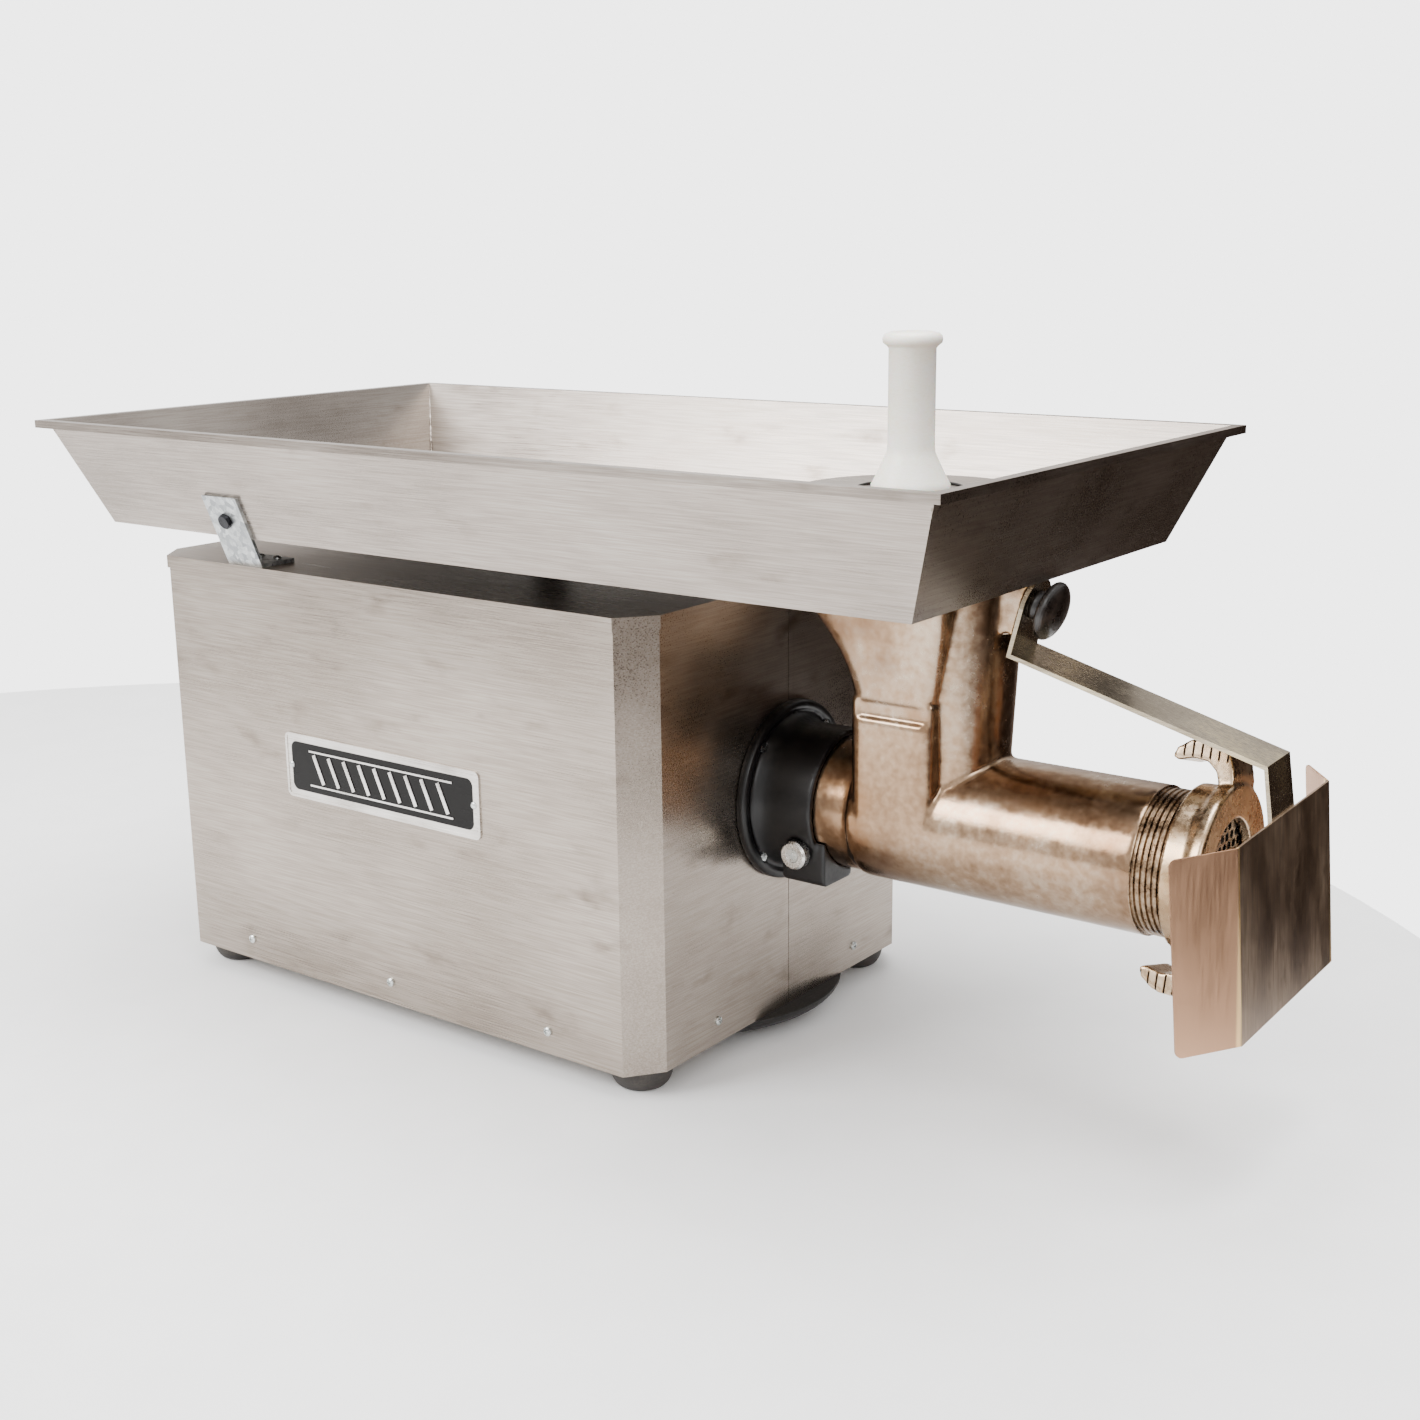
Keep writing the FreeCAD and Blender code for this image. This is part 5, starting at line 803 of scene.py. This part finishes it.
@dataclass
class Tray:
    """The feed tray with its welded corners, brackets, raised shield and stomper."""

    rear: tuple[float, float] = (-453.5, -485.8)     # inner corners along x, at the floor and at the rim
    front: tuple[float, float] = (317.9, 352.5)
    half_wide: tuple[float, float] = (186.7, 220.8)
    bead: float = 0.9
    bead_inset: float = 1.9
    bead_cuts: int = 40
    ripple: float = 0.28                             # share of the bead's radius
    ripple_pitch: float = 6.5
    knob: float = 21.0
    knob_tall: float = 9.5
    shaft: float = 16.6
    flare: float = 28.0
    centre_x: float = 0.205

    def beads(self) -> None:
        """Lays a rippled weld bead up each inner corner."""
        low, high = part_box("feed_tray")
        top_z = high.z - 3 * MM
        pieces = []
        for (x0, x1), side in ((self.rear, 1), (self.front, 1), (self.rear, -1), (self.front, -1)):
            y0, y1 = (side * half for half in self.half_wide)
            inward = Vector((-1 if x0 > 0 else 1, -side, 0)) * self.bead_inset * MM
            start = Vector((x0 * MM, y0 * MM, low.z + 2 * MM)) + inward
            end = Vector((x1 * MM, y1 * MM, top_z)) + inward
            along = end - start
            deselect()
            bpy.ops.mesh.primitive_cylinder_add(vertices=12, radius=self.bead * MM, depth=along.length,
                                                location=(start + end) / 2,
                                                rotation=along.to_track_quat("Z", "Y").to_euler())
            piece = bpy.context.object
            bpy.ops.object.transform_apply(location=True, rotation=True)
            bpy.ops.object.mode_set(mode="EDIT")
            bpy.ops.mesh.select_all(action="DESELECT")
            bpy.ops.object.mode_set(mode="OBJECT")
            for edge in piece.data.edges:
                one, two = (piece.data.vertices[i].co for i in edge.vertices)
                edge.select = (one - two).length > 0.5 * along.length
            bpy.ops.object.mode_set(mode="EDIT")
            bpy.ops.mesh.subdivide(number_cuts=self.bead_cuts)
            bpy.ops.object.mode_set(mode="OBJECT")
            unit = along.normalized()
            for vertex in piece.data.vertices:
                far = (vertex.co - start).dot(unit)
                axis = start + unit * far
                swell = 1 + self.ripple * math.sin(far / MM * 2 * math.pi / self.ripple_pitch)
                vertex.co = axis + (vertex.co - axis) * swell
            pieces.append(piece)
        settle(joined(pieces), "tray_corner_welds", Body.MACHINE, WELD_STEEL, "stainless_brushed")

    def stomper(self) -> None:
        """Turns the stomper: a flared foot, a plain shaft and a domed knob on a short neck."""
        low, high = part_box("stomper")
        tall = (high.z - low.z) / MM
        foot = (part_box("shield_ring")[0].z - low.z) / MM + 0.4
        knob = tall - self.knob_tall
        profile = [(0.0, self.shaft - 2.0), (2.0, self.shaft), (foot - 0.3, self.shaft + 1.0)]
        profile += [(foot, self.flare - 1.0), (foot + 1.0, self.flare), (foot + 3.0, self.flare)]
        profile += bent((foot + 3.0, self.flare), (foot + 25.0, self.shaft + 0.6), 0.92, 8)
        profile += [(foot + 30.0, self.shaft), (knob - 2.5, self.shaft), (knob - 0.8, self.shaft + 1.4),
                    (knob, self.knob - 2.0), (knob + 1.2, self.knob - 0.5), (knob + 3.5, self.knob),
                    (knob + 6.0, self.knob - 0.5), (knob + 8.0, self.knob - 2.6),
                    (knob + 9.0, self.knob - 7.0), (tall, 5.0)]
        piece = turned(Vector((self.centre_x, 0, low.z)), profile)
        settle(piece, "stomper_turned", Body.STOMPER, NYLON, "nylon_ivory", "stomper", angle=40.0)

    def build(self) -> None:
        """Dresses the tray, its brackets and the shield, and makes the beads and the stomper."""
        dress(NODES["feed_tray"], TRAY_STEEL_PAINTED_LIGHTER)
        dress(NODES["feed_shield"], TRAY_STEEL_PAINTED_LIGHTER)
        dress(NODES["shield_ring"], BLACK_RUBBER)
        for side in ("near", "far"):
            dress(NODES["tray_bracket_" + side], GALVANISED)
        dress(NODES["tray_bolts"], BLACK_STEEL)
        self.beads()
        self.stomper()


@dataclass
class Head:
    """The cast bronze head with its thread, and the black flange that clamps it."""

    voxel: float = 1.9
    rounds: int = 5
    flange_voxel: float = 1.3
    flange_rounds: int = 3
    thread_x: float = 404.6
    thread_lap: float = 0.4

    def casting(self) -> None:
        """Rounds the head as a casting comes out of sand, up to where its thread is cut."""
        piece = rounded("grinder_head", self.voxel, self.rounds)
        slice_off(piece, self.thread_x * MM, keep_front=False)
        settle(piece, "head_casting", Body.MACHINE, HEAD_BRONZE, "tinned_bronze", "grinder_head",
               angle=CAST_ANGLE)
        thread = copy_of("grinder_head")
        slice_off(thread, (self.thread_x - self.thread_lap) * MM, keep_front=True)
        settle(thread, "head_thread", Body.MACHINE, THREAD_BRONZE, "tinned_bronze", "grinder_head")

    def flange(self) -> None:
        """Softens the flange's cast edges."""
        piece = rounded("head_flange", self.flange_voxel, self.flange_rounds)
        settle(piece, "flange_casting", Body.MACHINE, BLACK_IRON, "cast_iron_black", "head_flange",
               angle=CAST_ANGLE)

    def build(self) -> None:
        """Makes the castings and dresses the clamp screw and the stud."""
        self.casting()
        self.flange()
        dress(NODES["clamp_screw"], TURNED_ALUMINIUM)
        dress(NODES["clamp_screw_plug"], ZINC_STEEL)
        dress(NODES["guard_stud"], ZINC_STEEL)


@dataclass
class Outlet:
    """What minces: worm, knife, plate and the ring nut that holds them in."""

    voxel: float = 1.25
    rounds: int = 4

    def ring_nut(self) -> None:
        """Rounds the ring nut as cast."""
        piece = rounded("ring_nut", self.voxel, self.rounds)
        settle(piece, "ring_nut_casting", Body.RING_NUT, NUT_BRONZE, "nickel_bronze", "ring_nut",
               angle=CAST_ANGLE)

    def build(self) -> None:
        """Makes the ring nut and dresses the rest."""
        self.ring_nut()
        dress(NODES["feed_worm"], HEAD_BRONZE)
        for node in ("cross_knife", "perforated_plate", "plate_pin"):
            dress(NODES[node], TOOL_STEEL)


@dataclass
class Guard:
    """The bent sheet in front of the outlet, its strap and its knob."""

    def build(self) -> None:
        """Dresses the guard, the strap and the knob."""
        dress(NODES["discharge_guard"], GUARD_STEEL)
        dress(NODES["guard_strap"], STRAP_STEEL)
        dress(NODES["guard_knob"], BAKELITE)
        LOG.info("guard dressed")


@dataclass
class Drive:
    """The motor, the gearbox and the shafts inside the casing."""

    finishes: dict[str, Finish] = field(default_factory=lambda: {
        "gearbox_housing": GREY_IRON, "gearbox_cover": GREY_IRON, "motor_cradle": GREY_IRON,
        "motor_shell": CAST_ALUMINIUM, "motor_front_bell": CAST_ALUMINIUM, "motor_rear_bell": CAST_ALUMINIUM,
        "output_gear": TOOL_STEEL, "counter_gear": TOOL_STEEL, "output_spindle": BRIGHT_STEEL,
        "countershaft": BRIGHT_STEEL, "rotor_shaft": BRIGHT_STEEL, "output_bearings": BRIGHT_STEEL,
        "counter_bearings": BRIGHT_STEEL, "motor_bearings": BRIGHT_STEEL, "rotor_core": CORE_STEEL,
        "stator_core": CORE_STEEL, "stator_windings": COPPER, "output_seal": BLACK_RUBBER,
        "cooling_fan": BLACK_PLASTIC, "fan_cowl": BLACK_STEEL, "capacitor": CAST_ALUMINIUM,
        "capacitor_clip": ZINC_STEEL, "drive_bolts": ZINC_STEEL})

    def build(self) -> None:
        """Dresses each part."""
        for node, finish in self.finishes.items():
            dress(NODES[node], finish)
        LOG.info("drive dressed: %d parts", len(self.finishes))


@dataclass
class Switch:
    """The push buttons on the far side and the cable gland in the rear."""

    def build(self) -> None:
        """Dresses the switch and the gland."""
        dress(NODES["switch_plate"], STEEL)
        dress(NODES["switch_body"], BLACK_PLASTIC)
        dress(NODES["start_button"], GREEN_PLASTIC)
        dress(NODES["stop_button"], RED_PLASTIC)
        dress(NODES["cable_gland"], BLACK_PLASTIC)
        LOG.info("switch dressed")


@dataclass
class Studio:
    """A pale floor, soft light and the camera."""

    place: Size = (0.8861, -1.1502, 0.6100)
    yaw: float = 36.77
    pitch: float = -14.16
    roll: float = -0.62
    lens: float = 47.91
    floor: float = 1.25
    floor_at: Size = (-0.42, -0.42, 0.0)

    def camera(self) -> None:
        """Sets the camera."""
        held = bpy.data.cameras.new("camera")
        held.lens = self.lens
        held.sensor_width = 36.0
        held.clip_start = 0.05
        yaw, pitch, roll = (math.radians(angle) for angle in (self.yaw, self.pitch, self.roll))
        forward = Vector((-math.sin(yaw) * math.cos(pitch), math.cos(yaw) * math.cos(pitch),
                          math.sin(pitch)))
        right = forward.cross(Vector((0, 0, 1))).normalized()
        up = right.cross(forward)
        side = right * math.cos(roll) + up * math.sin(roll)
        top = up * math.cos(roll) - right * math.sin(roll)
        turn = Matrix((side, top, -forward)).transposed().to_4x4()
        made = bpy.data.objects.new("camera", held)
        made.matrix_world = Matrix.Translation(self.place) @ turn
        bpy.context.scene.collection.objects.link(made)
        bpy.context.scene.camera = made

    def ground(self) -> None:
        """Lays the floor."""
        deselect()
        bpy.ops.mesh.primitive_circle_add(vertices=128, radius=self.floor, fill_type="NGON",
                                          location=self.floor_at)
        plane = bpy.context.object
        plane.name = "floor"
        dress(plane, Finish("paper_matt_white", ("#f4f4f4", "#f6f6f6", "#f8f8f8"), 0.0, (0.8, 0.95),
                            fine=(1.0, 1.0, 1.0), depth=0.0))

    def lamp(self, name: str, place: Size, target: Size, size: tuple[float, float], power: float) -> None:
        """Hangs one softbox.

        Args:
            name: the lamp's name.
            place: where it hangs.
            target: what it faces.
            size: its width and height in metres.
            power: its power in watts.
        """
        light = bpy.data.lights.new(name, "AREA")
        light.shape = "RECTANGLE"
        light.size, light.size_y = size
        light.energy = power
        made = bpy.data.objects.new(name, light)
        made.location = place
        made.rotation_euler = (Vector(target) - Vector(place)).to_track_quat("-Z", "Y").to_euler()
        bpy.context.scene.collection.objects.link(made)

    def sky(self) -> None:
        """Makes the room: white all round and above, dim and warm low down towards the outlet end."""
        world = bpy.data.worlds.new("studio")
        bpy.context.scene.world = world
        world.use_nodes = True
        tree = world.node_tree
        tree.nodes.clear()
        coords = add(tree, "ShaderNodeTexCoord")
        toward = add(tree, "ShaderNodeVectorMath", {0: coords.outputs["Generated"], 1: (0.80, 0.60, 0.0)},
                     operation="DOT_PRODUCT")
        dim = add(tree, "ShaderNodeValToRGB", {0: toward.outputs["Value"]},
                  ((0.0, linear("#f4f2f0")), (0.3, linear("#8d8077")), (0.7, linear("#2c221c"))))
        height = add(tree, "ShaderNodeSeparateXYZ", {0: coords.outputs["Generated"]})
        lift = add(tree, "ShaderNodeMapRange", {0: height.outputs[2], 1: 0.15, 2: 0.75})
        mixed = add(tree, "ShaderNodeMix", {0: lift.outputs[0], 6: dim.outputs[0], 7: linear("#ffffff")},
                    data_type="RGBA")
        lit = add(tree, "ShaderNodeBackground", {"Color": mixed.outputs[2], "Strength": 1.7})
        seen = add(tree, "ShaderNodeBackground", {"Color": linear("#ffffff"), "Strength": 4.0})
        ray = add(tree, "ShaderNodeLightPath")
        either = add(tree, "ShaderNodeMixShader", {0: ray.outputs["Is Camera Ray"], 1: lit.outputs[0],
                                                   2: seen.outputs[0]})
        add(tree, "ShaderNodeOutputWorld", {0: either.outputs[0]})

    def build(self) -> None:
        """Sets up all of it."""
        self.camera()
        self.ground()
        self.sky()
        self.lamp("softbox_near", (-1.3, -2.1, 1.7), (0.0, 0.0, 0.2), (1.6, 1.2), 95.0)
        self.lamp("softbox_top", (0.1, 0.2, 2.4), (0.0, 0.0, 0.2), (2.0, 1.4), 90.0)
        self.lamp("softbox_outlet", (1.9, -1.3, 1.1), (0.3, 0.0, 0.2), (0.7, 1.0), 14.0)


def main() -> None:
    """Builds the grinder part by part, then the studio round it."""
    logging.basicConfig(level=logging.INFO, format="%(message)s")
    for part in (Casing(), Nameplate(), Tray(), Head(), Outlet(), Guard(), Drive(), Switch(), Studio()):
        part.build()
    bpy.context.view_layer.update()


if __name__ == "__main__":
    main()
